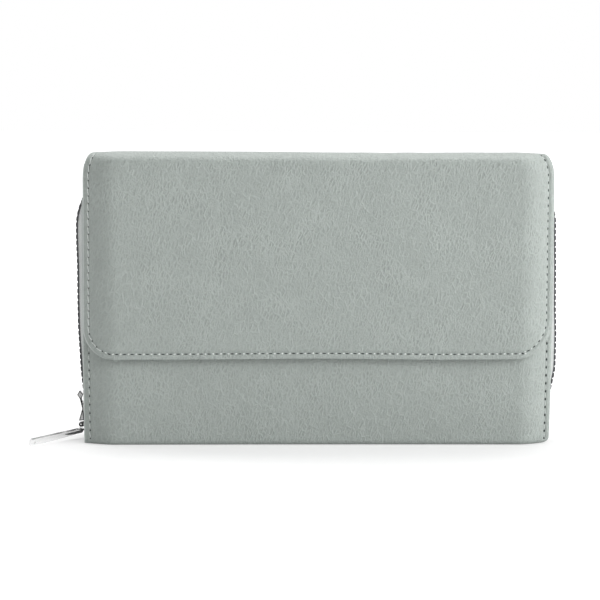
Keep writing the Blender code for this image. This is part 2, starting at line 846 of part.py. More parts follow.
def make_cranked_pull(name, size, pin_frame, tab_frame, finish):
    """A long flat tab that hangs below its eye on a short neck, and leans back."""
    half = size.thickness / 2
    deep = size.neck_depth / 2
    made = prism(name, disc_outline(size.eye_radius), -half, half, finish, across, pin_frame)
    neck = box_outline(-size.neck_half, size.neck_half, -size.crank, -size.eye_hole)
    combine(made, prism(f"{name}_neck", neck, -deep, deep, finish, across, pin_frame), "UNION")
    tab = [
        (-size.root_reach, -size.stem_half),
        (size.stem_length, -size.stem_half),
        (size.shoulder, -size.half),
        *rounded_tip(size),
        (size.shoulder, size.half),
        (size.stem_length, size.stem_half),
        (-size.root_reach, size.stem_half),
    ]
    combine(made, prism(f"{name}_tab", tab, -half, half, finish, flat, tab_frame), "UNION")
    drill(made, "eye", size.eye_hole, (0.0, 0.0), across, pin_frame, finish)
    drill(made, "tip", size.tip_hole, (size.length - size.tip_inset, 0.0), flat, tab_frame, finish)


def frame_of(origin, x_axis, y_axis, z_axis):
    """A placement from its origin and three axes."""
    turn = Matrix((x_axis, y_axis, z_axis)).transposed().to_4x4()
    return Matrix.Translation(origin) @ turn


def build():
    """Makes every piece."""
    for old in list(bpy.data.objects):
        bpy.data.objects.remove(old, do_unlink=True)

    shell = material("shell_leather", (0.36, 0.4, 0.375), 0.5)
    inner_leather = material("inner_leather", (0.3, 0.33, 0.31), 0.55)
    cloth = material("lining_cloth", (0.33, 0.36, 0.34), 0.85)
    tape_cloth = material("zip_tape", (0.42, 0.46, 0.43), 0.8)
    tooth_metal = material("zip_teeth_metal", (0.12, 0.12, 0.12), 0.35, 1.0)
    silver = material("silver_metal", (0.75, 0.75, 0.74), 0.22, 1.0)

    # Front case
    front = {
        "side": FRONT,
        "edge": FRONT_EDGE,
        "crown": FRONT_CROWN,
        "half_at": front_half,
    }
    case_sheet("front_panel", shell, LEATHER, 0.0, top=MOUTH, **front)
    case_sheet(
        "front_panel_lining",
        cloth,
        LINING,
        LEATHER + REST_GAP,
        top=MOUTH - FRONT_LINING_DROP,
        inset=FRONT_LINING_INSET,
        foot=FRONT_LINING_FOOT,
        **front,
    )
    panel = arched_outline(
        BODY_HALF - PANEL_INSET, back_half(HEIGHT), PANEL_FOOT, PANEL_TOP, PANEL_CORNER
    )
    prism("middle_panel", panel, -PANEL_OUTER, -PANEL_FACE, inner_leather, upright)
    strip = box_outline(
        -HINGE_STRIP_HALF, HINGE_STRIP_HALF, HINGE_STRIP_FOOT, HEIGHT - HINGE_STRIP_DROP
    )
    strip_near = PANEL_OUTER + REST_GAP
    prism("flap_hinge_strip", strip, -strip_near, -strip_near - LEATHER, shell, upright)

    # Back cover
    case_sheet(
        "back_panel",
        shell,
        LEATHER,
        0.0,
        side=BACK,
        edge=PANEL_OUTER,
        crown=BACK_CROWN,
        half_at=back_half,
        top=PANEL_TOP,
        round_top=PANEL_CORNER,
    )

    # What the two covers have alike: lining, card pockets, zip tape and teeth
    lining = arched_outline(LINING_HALF, LINING_HALF, LINING_FOOT, ZIP_TOP - LINING_DROP, LINING_CORNER)
    feet = {FRONT: ZIP_FOOT, BACK: COVER_ROW_FOOT}
    for side, side_name in ((FRONT, "front"), (BACK, "back")):
        near = side * LINING_FACE
        prism(f"{side_name}_cover_lining", lining, near, near + side * LINING, cloth, upright)
        card_pockets(side_name, side, inner_leather)
        rim_tape(f"{side_name}_zip_tape", side, feet[side], tape_cloth)
        start = -RIM.at_height(feet[side])
        comb(f"{side_name}_zip_teeth", side, start, RIM.right_length, RIM_ROW, rim_place, tooth_metal)
        for hand, hand_name in ((-1, "left"), (1, "right")):
            gusset(f"{side_name}_gusset_{hand_name}", side, hand, cloth)

    # Flap
    for name, finish, offset, thickness, inset in (
        ("flap", shell, 0.0, LEATHER, 0.0),
        ("flap_lining", cloth, LEATHER + REST_GAP, LINING, FLAP_LINING_INSET),
    ):
        outer = flap_grid(offset, inset)
        inner = flap_grid(offset + thickness, inset)
        sheet(name, outer, inner, finish, pivot=FLAP_AXIS)

    # Magnetic snap between the flap and the front panel
    face = FRONT_EDGE + FRONT_CROWN + SNAP_GAP
    disc = disc_outline(SNAP_RADIUS, (0.0, SNAP_HEIGHT))
    stud = prism("snap_stud", disc, -face, -face - SNAP_DISC, silver, upright)
    post = disc_outline(SNAP_POST_RADIUS, (0.0, SNAP_HEIGHT))
    post_foot = -face - SNAP_DISC / 2
    post_tip = -face - SNAP_DISC - SNAP_POST_HEIGHT
    combine(stud, prism("snap_stud_post", post, post_foot, post_tip, silver, upright), "UNION")
    inside = FLAP_EDGE + FRONT_CROWN - FLAP_SHEET - SNAP_GAP
    socket = prism("snap_socket", disc, -inside, -inside + SNAP_DISC, silver, upright, pivot=FLAP_AXIS)
    hole = disc_outline(SNAP_HOLE_RADIUS, (0.0, SNAP_HEIGHT))
    hole_shape = prism("snap_socket_hole", hole, -inside - OVERRUN, -inside + OVERRUN, silver, upright)
    combine(socket, hole_shape, "DIFFERENCE")

    # Coin purse
    wall = box_outline(-PURSE_HALF, PURSE_HALF, PURSE_FOOT, PURSE_TOP)
    wall_inner = PURSE_FACE - PURSE_WALL
    for side, side_name in ((FRONT, "front"), (BACK, "back")):
        prism(f"coin_purse_{side_name}", wall, side * PURSE_FACE, side * wall_inner, cloth, upright)
    edge_half = wall_inner - REST_GAP
    inner_half = PURSE_HALF - PURSE_WALL
    rim = [
        (-PURSE_HALF, PURSE_TOP),
        (-PURSE_HALF, PURSE_FOOT),
        (PURSE_HALF, PURSE_FOOT),
        (PURSE_HALF, PURSE_TOP),
        (inner_half, PURSE_TOP),
        (inner_half, PURSE_FOOT + PURSE_WALL),
        (-inner_half, PURSE_FOOT + PURSE_WALL),
        (-inner_half, PURSE_TOP),
    ]
    prism("coin_purse_edge", rim, -edge_half, edge_half, cloth, upright)
    tab = box_outline(-PURSE_HALF, PURSE_HALF, TAB_FOOT, PURSE_FOOT - REST_GAP)
    prism("coin_purse_hinge_tab", tab, -PURSE_TAB / 2, PURSE_TAB / 2, cloth, upright)

    # Coin purse zip
    zip_half = inner_half - COIN_ZIP_INSET
    tape_top = PURSE_TOP + COIN_ZIP_LIFT - COIN_TOOTH_THICKNESS / 2 - REST_GAP
    tape_outline = box_outline(-zip_half, zip_half, PURSE_TOP - COIN_TAPE_DROP, tape_top)
    tape_outer = wall_inner - REST_GAP
    for side, side_name in ((FRONT, "front"), (BACK, "back")):
        low, high = side * tape_outer, side * (tape_outer - TAPE)
        prism(f"coin_zip_tape_{side_name}", tape_outline, low, high, tape_cloth, upright)
        name = f"coin_zip_teeth_{side_name}"
        comb(name, side, -zip_half, zip_half, COIN_ROW, mouth_place, tooth_metal)

    # Main slider, on the straight left side of the rim
    slider_middle = SLIDER_FOOT + SliderSize.length / 2 * math.cos(LEFT_SLANT)
    x, z, nx, nz = RIM.point(-RIM.at_height(slider_middle))
    outward = Vector((nx, 0.0, nz))
    along = Vector((nz, 0.0, -nx))
    slider_frame = frame_of(Vector((x, 0.0, z)), outward, along.cross(outward), along)
    _, pin = make_slider("zip_slider", SliderSize, slider_frame, silver)
    make_back_plate("zip_slider_back_plate", SliderSize, slider_frame, silver)
    pin_place = slider_frame @ Vector((pin[0], 0.0, pin[1]))
    level = Vector((-math.cos(PULL_YAW), -math.sin(PULL_YAW), 0.0))
    run = level * math.cos(PULL_FALL) - Vector((0.0, 0.0, math.sin(PULL_FALL)))
    front_way = Vector((math.sin(PULL_YAW), -math.cos(PULL_YAW), 0.0))
    face_way = front_way * math.cos(PULL_LEAN) + run.cross(front_way) * math.sin(PULL_LEAN)
    tab_place = pin_place - Vector((0.0, 0.0, PullSize.crank))
    tab_frame = frame_of(tab_place, run, face_way.cross(run), face_way)
    make_cranked_pull("zip_pull", PullSize, Matrix.Translation(pin_place), tab_frame, silver)

    # Coin purse slider and pull
    mouth = mouth_place(COIN_SLIDER_PARK - PURSE_HALF, 0.0, 0.0)
    up, right = Vector((0.0, 0.0, 1.0)), Vector((1.0, 0.0, 0.0))
    coin_frame = frame_of(mouth, up, right.cross(up), right)
    _, coin_pin = make_slider("coin_zip_slider", CoinSliderSize, coin_frame, silver)
    make_back_plate("coin_zip_slider_back_plate", CoinSliderSize, coin_frame, silver)
    coin_place = coin_frame @ Vector((coin_pin[0], 0.0, coin_pin[1]))
    coin_run = Vector((-math.cos(COIN_PULL_FALL), 0.0, -math.sin(COIN_PULL_FALL)))
    coin_face = Vector((0.0, -1.0, 0.0))
    coin_pull_frame = frame_of(coin_place, coin_run, coin_face.cross(coin_run), coin_face)
    make_pull("coin_zip_pull", CoinPullSize, coin_pull_frame, silver)


build()
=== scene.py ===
"""Looks of the organizer wallet: leather, cloth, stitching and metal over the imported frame."""

import math

import bmesh
import bpy
import numpy as np
from mathutils import Matrix, Vector, noise


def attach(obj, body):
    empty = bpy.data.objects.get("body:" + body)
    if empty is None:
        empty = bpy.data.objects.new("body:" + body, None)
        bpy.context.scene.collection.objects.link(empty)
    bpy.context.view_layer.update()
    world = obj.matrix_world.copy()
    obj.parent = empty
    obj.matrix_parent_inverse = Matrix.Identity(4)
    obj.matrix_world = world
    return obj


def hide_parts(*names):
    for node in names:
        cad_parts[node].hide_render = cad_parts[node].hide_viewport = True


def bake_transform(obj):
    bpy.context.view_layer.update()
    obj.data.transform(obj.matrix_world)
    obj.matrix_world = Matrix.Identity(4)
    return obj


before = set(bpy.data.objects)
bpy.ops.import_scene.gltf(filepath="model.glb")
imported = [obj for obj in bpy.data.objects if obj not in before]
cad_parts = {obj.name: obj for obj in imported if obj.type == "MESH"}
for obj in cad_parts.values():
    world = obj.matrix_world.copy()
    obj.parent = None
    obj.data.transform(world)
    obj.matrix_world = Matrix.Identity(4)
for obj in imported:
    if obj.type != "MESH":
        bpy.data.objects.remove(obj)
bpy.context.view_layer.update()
MM = 0.001

# Sizes of the frame's pieces, and of the seams and cloths on them
ZIP_Y = 3.5 * MM
HEIGHT = 120.5 * MM
BODY_HALF = 95 * MM
PURSE_FACE = 3.0 * MM
CARDS_FACE = 7.5 * MM
CARD_PITCH = 1.1 * MM
CARD_SHEET = 0.5 * MM
CARD_HALF = 88 * MM
CARD_FOOT = 5 * MM
CARD_CORNER = 5 * MM
CARD_TOPS = (63.5 * MM, 78.5 * MM, 93.5 * MM)
CARD_SEAM_HALF = 85 * MM
CARD_SEAM_DROP = 2 * MM
CARD_DIVIDER = (6 * MM, 60 * MM)
LINING_FACE = 10.8 * MM
LINING_HALF = 90.4 * MM
LINING_TOP = 109.1 * MM
LINING_CORNER = 20 * MM
LINING_FOOT = 2.5 * MM
PANEL_FACE = 11.6 * MM
PANEL_OUTER = 12.8 * MM
PANEL_TOP = 111.3 * MM
PANEL_CORNER = 21.5 * MM
PANEL_FOOT = 3.0 * MM
PANEL_TAPER = 0.4 * MM
LEATHER = 1.2 * MM
LINING = 0.5 * MM
GAP = 0.3 * MM
FRONT_EDGE = 14.3 * MM
FRONT_CROWN = 5.4 * MM
BACK_CROWN = 2.0 * MM
FLAP_EDGE = 18.0 * MM
FLAP_CORNER = 12.5 * MM
ROLL = 14.0 * MM
FOOT_RADIUS = 2.0 * MM
MOUTH = HEIGHT - 19 * MM
POCKET_LINING_DROP = 1 * MM
POCKET_LINING_FOOT = 6 * MM
POCKET_LINING_INSET = 5 * MM
FLAP_LINING_INSET = 1.5 * MM
STRIP_HALF = 88 * MM
STRIP_FOOT = 102.1 * MM
STRIP_TOP = 117.3 * MM
STRIP_SEAM_HALF = 86 * MM
STRIP_SEAM_Z = 104.5 * MM
ZIP_HALF = 98.8 * MM
ZIP_TOP = 114 * MM
ZIP_CORNER = 25 * MM
ZIP_FOOT = 6.0 * MM
LEFT_SLANT = (math.radians(6.4), 0.31, 0.63)
RIGHT_SLANT = (math.radians(10.8), 0.217, 0.325)
COVER_ROW_FOOT = 17.5 * MM
TOOTH_PITCH = 2.5 * MM
PURSE_HALF = 84 * MM
PURSE_TOP = 87.5 * MM
PURSE_FOOT = 4 * MM
PURSE_CLOTH = 0.8 * MM
PURSE_EDGE_DEPTH = 1.9 * MM
PURSE_SEAM_IN = 2 * MM
PURSE_ROLL = 9 * MM
PURSE_PUFF = 0.35 * MM
PURSE_RIPPLE = 0.12 * MM
TAB_FOOT = 1.5 * MM
TAB_TOP = 3.7 * MM
TAB_DEPTH = 0.2 * MM
COIN_ZIP_Z = 88.8 * MM
COIN_ZIP_HALF = 79.2 * MM
COIN_PITCH = 3.0 * MM
COIN_TAPE_FOOT = 81.5 * MM
COIN_TAPE_TOP = 87.7 * MM
COIN_TAPE_DEPTHS = (1.4 * MM, 1.9 * MM)
GUSSET_INNER = 83 * MM
GUSSET_APEX = 74.8 * MM
GUSSET_TOP = 81.5 * MM
GUSSET_FOOT = 6 * MM
GUSSET_HALF_CLOTH = 0.2 * MM
GUSSET_WAVE = 0.15 * MM
GUSSET_TURNS = 260

# The front as the photo shows it; curves are pairs of a place and a value, both in mm
FRONT_SIDE = 1.25 * MM
FRONT_FLARE = 0.8 * MM
FLARE_RISE = 80 * MM
RIGHT_FOOT_CORNER = 3 * MM
FOOT_TUCK = ((-96, -0.25), (-60, 0.2), (-20, 0.8), (20, 1.05), (96, 1.0))
TUCK_RISE = 17 * MM
FLAP_HALF = 96.4 * MM
FLAP_HEM = 35.1 * MM
RIGHT_CORNER = 16.0 * MM
FOLD_RISE = 4.3 * MM
FOLD_SHARE = 0.85
TOP_NARROWING = 3.9 * MM
NARROWING_RISE = 11.0 * MM
SHOULDER_DROP = 0.5 * MM
TOP_LOOK = 0.05 * MM
TOP_DIP = 0.35 * MM
DIP_MIDDLE = 28 * MM
DIP_REACH = 60 * MM
HEM_WAVE = ((-96, 0.7), (-49, 0.95), (0, 1.35), (50, 0.95), (80, 1.2), (96, 1.2))
WAVE_TOP = 85 * MM
WAVE_REACH = 45 * MM
LEFT_LEAN = ((28, 0), (38, 0.4), (55, 0.5), (72, 0.4), (84, 0))
RIGHT_LEAN = (
    (24, -0.5), (30, -0.1), (45, 0.1), (56, -0.3), (72, -0.4), (80, -0.6), (88, -0.75), (96, -0.5), (108, 0),
)
SEAM_DEPTH = ((70, 0.45), (92, 0.75))
EDGE_FADE = 8 * MM
FOOT_FADE = 6 * MM
FINE_RIM = 4.4 * MM

# The slider's pin, and the pull as its fall, turn and lean in the photo
PIN_PLACE = Vector((-98.19, 3.5, 5.904)) * MM
PIN_HEAD_Y = 2.13 * MM
PULL_FALL = math.radians(2.9)
PULL_YAW = math.radians(50.0)
PULL_LEAN = math.radians(-41.0)
PULL_STEM = 5.5 * MM
PULL_LOW = -1.6 * MM
PULL_HIGH = 2.4 * MM
PULL_WIDER = 0.5
PULL_LONGER = 0.06
PULL_END = 27.0 * MM
PULL_SKEW = 3.0 * MM
PULL_DROP = 1.6 * MM
# Painted reflection: a dark wedge on the pull, as length, low and high across it in mm; then its depths under
# and over the face
PAINTED_WEDGE = ((-0.8, -3.3, -1.2), (4.0, -3.1, -1.5), (8.0, -2.5, -1.5), (10.4, -1.75, -1.5))
PAINTED_WEDGE_DEPTHS = (-0.9 * MM, 0.08 * MM)
OUTLINE = 0.36 * MM
KNOB_HEIGHT = 3.2 * MM
KNOB_SHIFT = Vector((0.35, 0.0, -0.35)) * MM
KNOB_SIZE = Vector((1.25, 1.0, 1.15))

# Tape between its cord and its panel: depths, drop, bow and ripple
TAPE_NEAR = 3.45 * MM
TAPE_FAR = 11.3 * MM
TAPE_DROP = 4.2 * MM
TAPE_HALF = 0.25 * MM
TAPE_BOW = 0.1 * MM
TAPE_RIPPLE = 0.08 * MM
RIPPLE_TURNS = 420.0

# The two covers, by the side they lie on, their word and their body
COVERS = ((-1, "front", "front_case"), (1, "back", "back_cover"))

# Seams
STITCH_INSET = 2.15 * MM
FRONT_LEFT_INSET = 2.6 * MM
SEAM_CENTRE_Z = 0.075
FLAT_SEAM_PITCH = 3.0 * MM
STITCH_SIDES = 6
STITCH_RINGS = ((-1.0, -0.5, 0.5), (-0.7, 0.4, 0.95), (0.0, 1.0, 1.0), (0.7, 0.4, 0.95), (1.0, -0.5, 0.5))
HOLE_SIDES = 8
HOLE_RINGS = ((0.02 * MM, 1.0), (0.12 * MM, 0.6))

# Leather
SAGE = (0.352, 0.388, 0.367)
INNER_SAGE = (0.3, 0.33, 0.31)
LEATHER_LEAN = math.radians(-20.0)
CROSS_LEAN = math.radians(28.0)
GRAIN_WANDER = 26.0


class Nodes:
    """A node tree, with short ways to add nodes that are linked as they are made."""

    def __init__(self, tree):
        self.tree = tree

    def feed(self, socket, value):
        """Gives a socket another node's output, a colour or a plain value."""
        if isinstance(value, bpy.types.NodeSocket):
            self.tree.links.new(value, socket)
        elif socket.type == "RGBA":
            socket.default_value = (*value, 1.0)
        else:
            socket.default_value = value

    def add(self, kind, inputs, **settings):
        made = self.tree.nodes.new("ShaderNode" + kind)
        for key, value in settings.items():
            setattr(made, key, value)
        for key, value in inputs.items():
            self.feed(made.inputs[key], value)
        return made

    def maths(self, operation, a, b=0.0, clamp=False):
        return self.add("Math", {0: a, 1: b}, operation=operation, use_clamp=clamp).outputs[0]

    def plus(self, a, b, clamp=False):
        return self.maths("ADD", a, b, clamp)

    def times(self, a, b, clamp=False):
        return self.maths("MULTIPLY", a, b, clamp)

    def mixed(self, factor, a, b):
        return self.add("Mix", {0: factor, 6: a, 7: b}, data_type="RGBA").outputs[2]

    def noise(self, place, scale, detail, roughness=0.5, output=0):
        inputs = {"Vector": place, "Scale": scale, "Detail": detail, "Roughness": roughness}
        return self.add("TexNoise", inputs).outputs[output]

    def ramp(self, value, *stops):
        """A smooth curve through stops of place and level."""
        made = self.add("ValToRGB", {0: value})
        made.color_ramp.interpolation = "EASE"
        while len(made.color_ramp.elements) < len(stops):
            made.color_ramp.elements.new(0.5)
        for element, (place, level) in zip(made.color_ramp.elements, stops):
            element.position = place
            element.color = (level, level, level, 1.0)
        return made.outputs[0]


class Surface(Nodes):
    """A new material with its shader and the place on the object."""

    def __init__(self, name):
        self.material = bpy.data.materials.new(name)
        self.material.use_nodes = True
        super().__init__(self.material.node_tree)
        self.shader = self.tree.nodes["Principled BSDF"]
        self.place = self.add("TexCoord", {}).outputs["Object"]

    def leaning(self, lean, squeeze, bend):
        """Places along a grain that leans in X-Z and wanders over the surface."""
        wander = self.noise(self.place, GRAIN_WANDER, 1.5, output="Color")
        centred = self.add("VectorMath", {0: wander, 1: (0.5, 0.5, 0.5)}, operation="SUBTRACT").outputs[0]
        scaled = self.add("VectorMath", {0: centred, "Scale": bend}, operation="SCALE").outputs[0]
        bent = self.add("VectorMath", {0: self.place, 1: scaled}, operation="ADD").outputs[0]
        turned = self.add("VectorRotate", {"Vector": bent, "Angle": lean}, rotation_type="Y_AXIS").outputs[0]
        return self.add("Mapping", {"Vector": turned, "Scale": squeeze}).outputs[0]

    def veins(self, place, scale, width):
        """The lines between long cells, from 0 in a cell to 1 on a line."""
        inputs = {"Vector": place, "Scale": scale, "Randomness": 1.0}
        cells = self.add("TexVoronoi", inputs, feature="DISTANCE_TO_EDGE").outputs["Distance"]
        return self.ramp(cells, (0.0, 1.0), (width * 0.45, 0.55), (width, 0.0))

    def bump(self, height, strength, distance):
        made = self.add("Bump", {"Height": height, "Strength": strength, "Distance": distance})
        self.feed(self.shader.inputs["Normal"], made.outputs[0])

    def finish(self, colour, roughness, specular=0.5, metallic=0.0):
        """Feeds the shader and gives the material."""
        names = ("Base Color", "Roughness", "Specular IOR Level", "Metallic")
        for name, value in zip(names, (colour, roughness, specular, metallic)):
            self.feed(self.shader.inputs[name], value)
        return self.material


def leather(name, colour, depth, roughness, grain=1.0, contrast=1.0):
    """Milled faux leather: long pale creases that come and go, fine pits and a soft sheen."""
    look = Surface(name)
    place = look.leaning(LEATHER_LEAN, (grain, grain, 0.44 * grain), 0.004)
    crossing = look.leaning(CROSS_LEAN, (grain, grain, 0.25 * grain), 0.0045)
    patches = look.noise(look.place, 55.0, 2.0)
    strong = look.ramp(patches, (0.4, 0.0), (0.6, 1.0))
    crossed = look.ramp(patches, (0.4, 0.75), (0.54, 0.0))
    broken = look.ramp(look.noise(look.place, 260.0, 1.0), (0.34, 0.3), (0.54, 1.0))
    long_net = look.times(look.veins(place, 540.0, 0.2), strong)
    cross_net = look.times(look.veins(crossing, 480.0, 0.15), crossed)
    creases = look.times(look.maths("MAXIMUM", long_net, cross_net), broken)
    weak = look.maths("SUBTRACT", 1.0, look.times(strong, 0.55))
    fine_net = look.times(look.veins(place, 760.0, 0.28), weak)
    creases = look.maths("MAXIMUM", creases, fine_net)
    pitted = look.ramp(look.noise(look.place, 1250.0, 2.0, 0.6), (0.38, 0.0), (0.6, 1.0))
    look.bump(look.plus(look.times(creases, 0.8), look.times(pitted, 0.15)), 0.85, depth)
    shade = look.plus(look.times(creases, 0.5), look.times(pitted, 0.2))
    shade = look.plus(shade, look.times(look.noise(look.place, 120.0, 3.0), 0.3), clamp=True)
    dark = tuple(c * (1.0 - 0.13 * contrast) for c in colour)
    light = tuple(c * (1.0 + 0.22 * contrast) for c in colour)
    rough = look.plus(look.times(pitted, 0.1), roughness - 0.05)
    return look.finish(look.mixed(shade, dark, light), rough, specular=0.4)


def cloth(name, dark, light, pitch):
    """A plain weave: two sets of threads that cross, with a little fluff."""
    look = Surface(name)
    x, y, z = look.add("SeparateXYZ", {0: look.place}).outputs
    turn = 2 * math.pi / pitch
    warp = look.maths("SINE", look.times(look.plus(x, y), turn))
    weft = look.maths("SINE", look.times(z, turn))
    weave = look.plus(look.times(look.times(warp, weft), 0.5), 0.5)
    fluff = look.noise(look.place, 2200.0, 4.0)
    look.bump(look.plus(weave, look.times(fluff, 0.6)), 0.6, 0.12 * MM)
    shade = look.times(look.plus(weave, fluff), 0.5, clamp=True)
    return look.finish(look.mixed(shade, dark, light), 0.85, specular=0.25)


def metal(name, colour, roughness, rim=0.0, metallic=1.0):
    """Plated metal with faint scratches and uneven polish; with rim its turned-away sides go dark, a painted
    shade.
    """
    look = Surface(name)
    brushed = look.add("Mapping", {"Vector": look.place, "Scale": (1.0, 6.0, 1.0)}).outputs[0]
    marks = look.noise(brushed, 900.0, 5.0, 0.7)
    dim = tuple(c * 0.86 for c in colour)
    plate = look.mixed(look.noise(look.place, 160.0, 2.0), dim, colour)
    # Painted shade: faces that turn away mix towards near black
    if rim:
        turned = look.add("LayerWeight", {"Blend": 0.5}).outputs["Facing"]
        plate = look.mixed(look.ramp(turned, (0.62, 0.0), (0.92, rim)), plate, (0.03, 0.03, 0.032))
    look.bump(marks, 0.15, 0.03 * MM)
    return look.finish(plate, look.plus(look.times(marks, 0.06), roughness), metallic=metallic)


def thread(name, dark, light):
    """Twisted sewing thread."""
    look = Surface(name)
    inputs = {"Vector": look.place, "Scale": 900.0, "Distortion": 1.5}
    twist = look.add("TexWave", inputs, bands_direction="DIAGONAL").outputs["Fac"]
    look.bump(twist, 0.5, 0.05 * MM)
    return look.finish(look.mixed(twist, dark, light), 0.6)


SHELL = leather("shell_leather_grain", SAGE, 0.24 * MM, 0.46)
INNER = leather("inner_leather_grain", INNER_SAGE, 0.08 * MM, 0.5, grain=1.6)
# Painted highlight: a paler leather that stands for light caught on the rounded side rims
PAINTED_RIM_HIGHLIGHT = leather("painted_rim_highlight", (0.54, 0.58, 0.56), 0.05 * MM, 0.5, grain=2.0, contrast=0.4)
# Painted shade: near-black marks on the leather that stand for the shade inside needle holes
HOLE_SHADE = leather("needle_hole_shade", (0.035, 0.042, 0.04), 0.03 * MM, 0.8)
THREAD = thread("sewing_thread", (0.6, 0.64, 0.62), (0.86, 0.89, 0.87))
LINING_CLOTH = cloth("lining_weave", (0.24, 0.265, 0.25), (0.36, 0.39, 0.37), 0.7 * MM)
TAPE_CLOTH = cloth("tape_weave", (0.42, 0.44, 0.43), (0.62, 0.64, 0.63), 0.9 * MM)
TEETH = metal("zip_teeth_finish", (0.075, 0.075, 0.08), 0.38)
SILVER = metal("silver_plate", (0.82, 0.82, 0.81), 0.13, rim=0.7)
SILVER_CAST = metal("silver_plate_cast", (0.4, 0.4, 0.4), 0.22)
# Painted shade: a near-black plate for bevelled edges, face borders, the pin's ring and the pull's wedge
SILVER_EDGE_SHADE = metal("silver_plate_edge_shade", (0.035, 0.035, 0.037), 0.35)
SILVER_PULL = metal("silver_plate_pull", (0.92, 0.92, 0.92), 0.1, metallic=0.75)
# Painted shade: a duller grey for the pull's bevelled edges
SILVER_PULL_EDGE_SHADE = metal("silver_plate_pull_edge_shade", (0.62, 0.62, 0.62), 0.4, metallic=0.3)


def new_object(name, data):
    made = bpy.data.objects.new(name, data)
    bpy.context.scene.collection.objects.link(made)
    return made


def link(name, mesh, materials, body, node_name=None, smooth=True):
    """Links a mesh as a piece that rides on a body and stands for a CAD node."""
    for item in materials:
        mesh.materials.append(item)
    if smooth:
        mesh.shade_smooth()
    made = new_object(name, mesh)
    if body:
        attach(made, body)
    if node_name:
        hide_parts(node_name)
    return made


def from_lists(name, points, faces):
    mesh = bpy.data.meshes.new(name)
    mesh.from_pydata([tuple(p) for p in points], [], faces)
    mesh.validate()
    return mesh


def link_faces(name, points, faces, material, body, smooth=True):
    link(name, from_lists(name, points, faces), [material], body, smooth=smooth)


def as_mesh(name, shape):
    mesh = bpy.data.meshes.new(name)
    shape.to_mesh(mesh)
    shape.free()
    return mesh


def round_edges(shape, edges, width, segments):
    return bmesh.ops.bevel(
        shape, geom=edges, offset=width, segments=segments, profile=0.5, affect="EDGES", clamp_overlap=True,
    )["faces"]


def circle(centre, u, v, count):
    """Points round a centre, with u and v as the ring's two radii."""
    turns = [2 * math.pi * k / count for k in range(count)]
    return [centre + u * math.cos(a) + v * math.sin(a) for a in turns]


def ring_faces(rings, count, base=0, ends=(0, 0)):
    """Faces between rings of points; an end of 1 or -1 is closed by a face in or against their order."""
    faces = []
    for r in range(rings - 1):
        for k in range(count):
            a, b = base + r * count + k, base + r * count + (k + 1) % count
            faces.append([a, b, b + count, a + count])
    for first, way in ((base, ends[0]), (base + (rings - 1) * count, ends[1])):
        if way:
            faces.append(list(range(first, first + count))[::way])
    return faces


def closed_grid(name, outer, inner, rim_bevel=0.4 * MM, segments=3, rim_highlight=()):
    """A closed sheet between two grids of points (rows, columns, 3), with rounded rims.

    The columns given last, and the rim bevels that face left, take the piece's second material: a painted
    highlight.
    """
    rows, columns = outer.shape[:2]
    count = rows * columns
    index = np.arange(count).reshape(rows, columns)
    top = np.stack([index[:-1, :-1], index[:-1, 1:], index[1:, 1:], index[1:, :-1]], -1).reshape(-1, 4)
    low = top[:, [0, 3, 2, 1]] + count
    rim = [*index[0], *index[1:, -1], *index[-1, -2::-1], *index[-2:0:-1, 0]]
    pairs = list(zip(rim, rim[1:] + rim[:1]))
    wall = [(p, p + count, q + count, q) for p, q in pairs]
    shape = bmesh.new()
    verts = [shape.verts.new(p) for grid in (outer, inner) for p in grid.reshape(-1, 3)]
    for face in [*top, *low, *wall]:
        shape.faces.new([verts[i] for i in face])
    if rim_highlight:
        shape.faces.ensure_lookup_table()
        for r in range(rows - 1):
            for c in rim_highlight:
                shape.faces[r * (columns - 1) + c % (columns - 1)].material_index = 1
    bmesh.ops.recalc_face_normals(shape, faces=shape.faces)
    if rim_bevel:
        ends = [(verts[p + shift], verts[q + shift]) for p, q in pairs for shift in (0, count)]
        rounded = round_edges(shape, [shape.edges.get(end) for end in ends], rim_bevel, segments)
        shape.normal_update()
        # Rim bevels that face left take the second material, a painted highlight
        for face in rounded:
            if rim_highlight and face.normal.x < -abs(face.normal.z) - 0.1:
                face.material_index = 1
    return as_mesh(name, shape)


def panel(name, outer, inner, materials, body, node_name, rim_bevel=0.4 * MM, segments=3, rim_highlight=()):
    mesh = closed_grid(name, outer, inner, rim_bevel, segments, rim_highlight)
    return link(name, mesh, materials, body, node_name)


def unit(vectors):
    return vectors / np.maximum(np.linalg.norm(vectors, axis=-1, keepdims=True), 1e-12)


def normals_of(grid):
    """Unit normals of a grid of points."""
    return unit(np.cross(np.gradient(grid, axis=1), np.gradient(grid, axis=0)))


def facing(normals, way):
    """Normals turned to the side that way points to."""
    sign = np.sign((normals * np.array(way)).sum(-1, keepdims=True))
    return normals * np.where(sign == 0, 1, sign)


def noise_field(grid, scale, seed):
    """Smooth noise at each point of a grid, between about -1 and 1."""
    flat = grid.reshape(-1, 3) * np.array(scale)
    shift = Vector((seed * 13.7, seed * 5.3, seed * 9.1))
    return np.array([noise.noise(Vector(p) + shift) for p in flat]).reshape(grid.shape[:2])


def waves(grid, wide, small, seed, wide_scale=(24, 24, 34), small_scale=(110, 60, 70)):
    """A leather face's soft waves, by the heights in mm of the wide and the small ones."""
    low = wide * MM * noise_field(grid, wide_scale, seed)
    return low + small * MM * noise_field(grid, small_scale, seed + 1)


def share_of(value, reach):
    return np.clip(value / reach, 0, 1)


def pillow(distance, roll=ROLL):
    return np.sin(np.pi / 2 * share_of(distance, roll))


def curve(place, pairs):
    """The value at a place on a curve that is given in mm."""
    return np.interp(place / MM, *zip(*pairs)) * MM


def between(at, known, values):
    """Three-part values at places between the known ones."""
    return np.stack([np.interp(at, known, values[:, i]) for i in range(3)], -1)


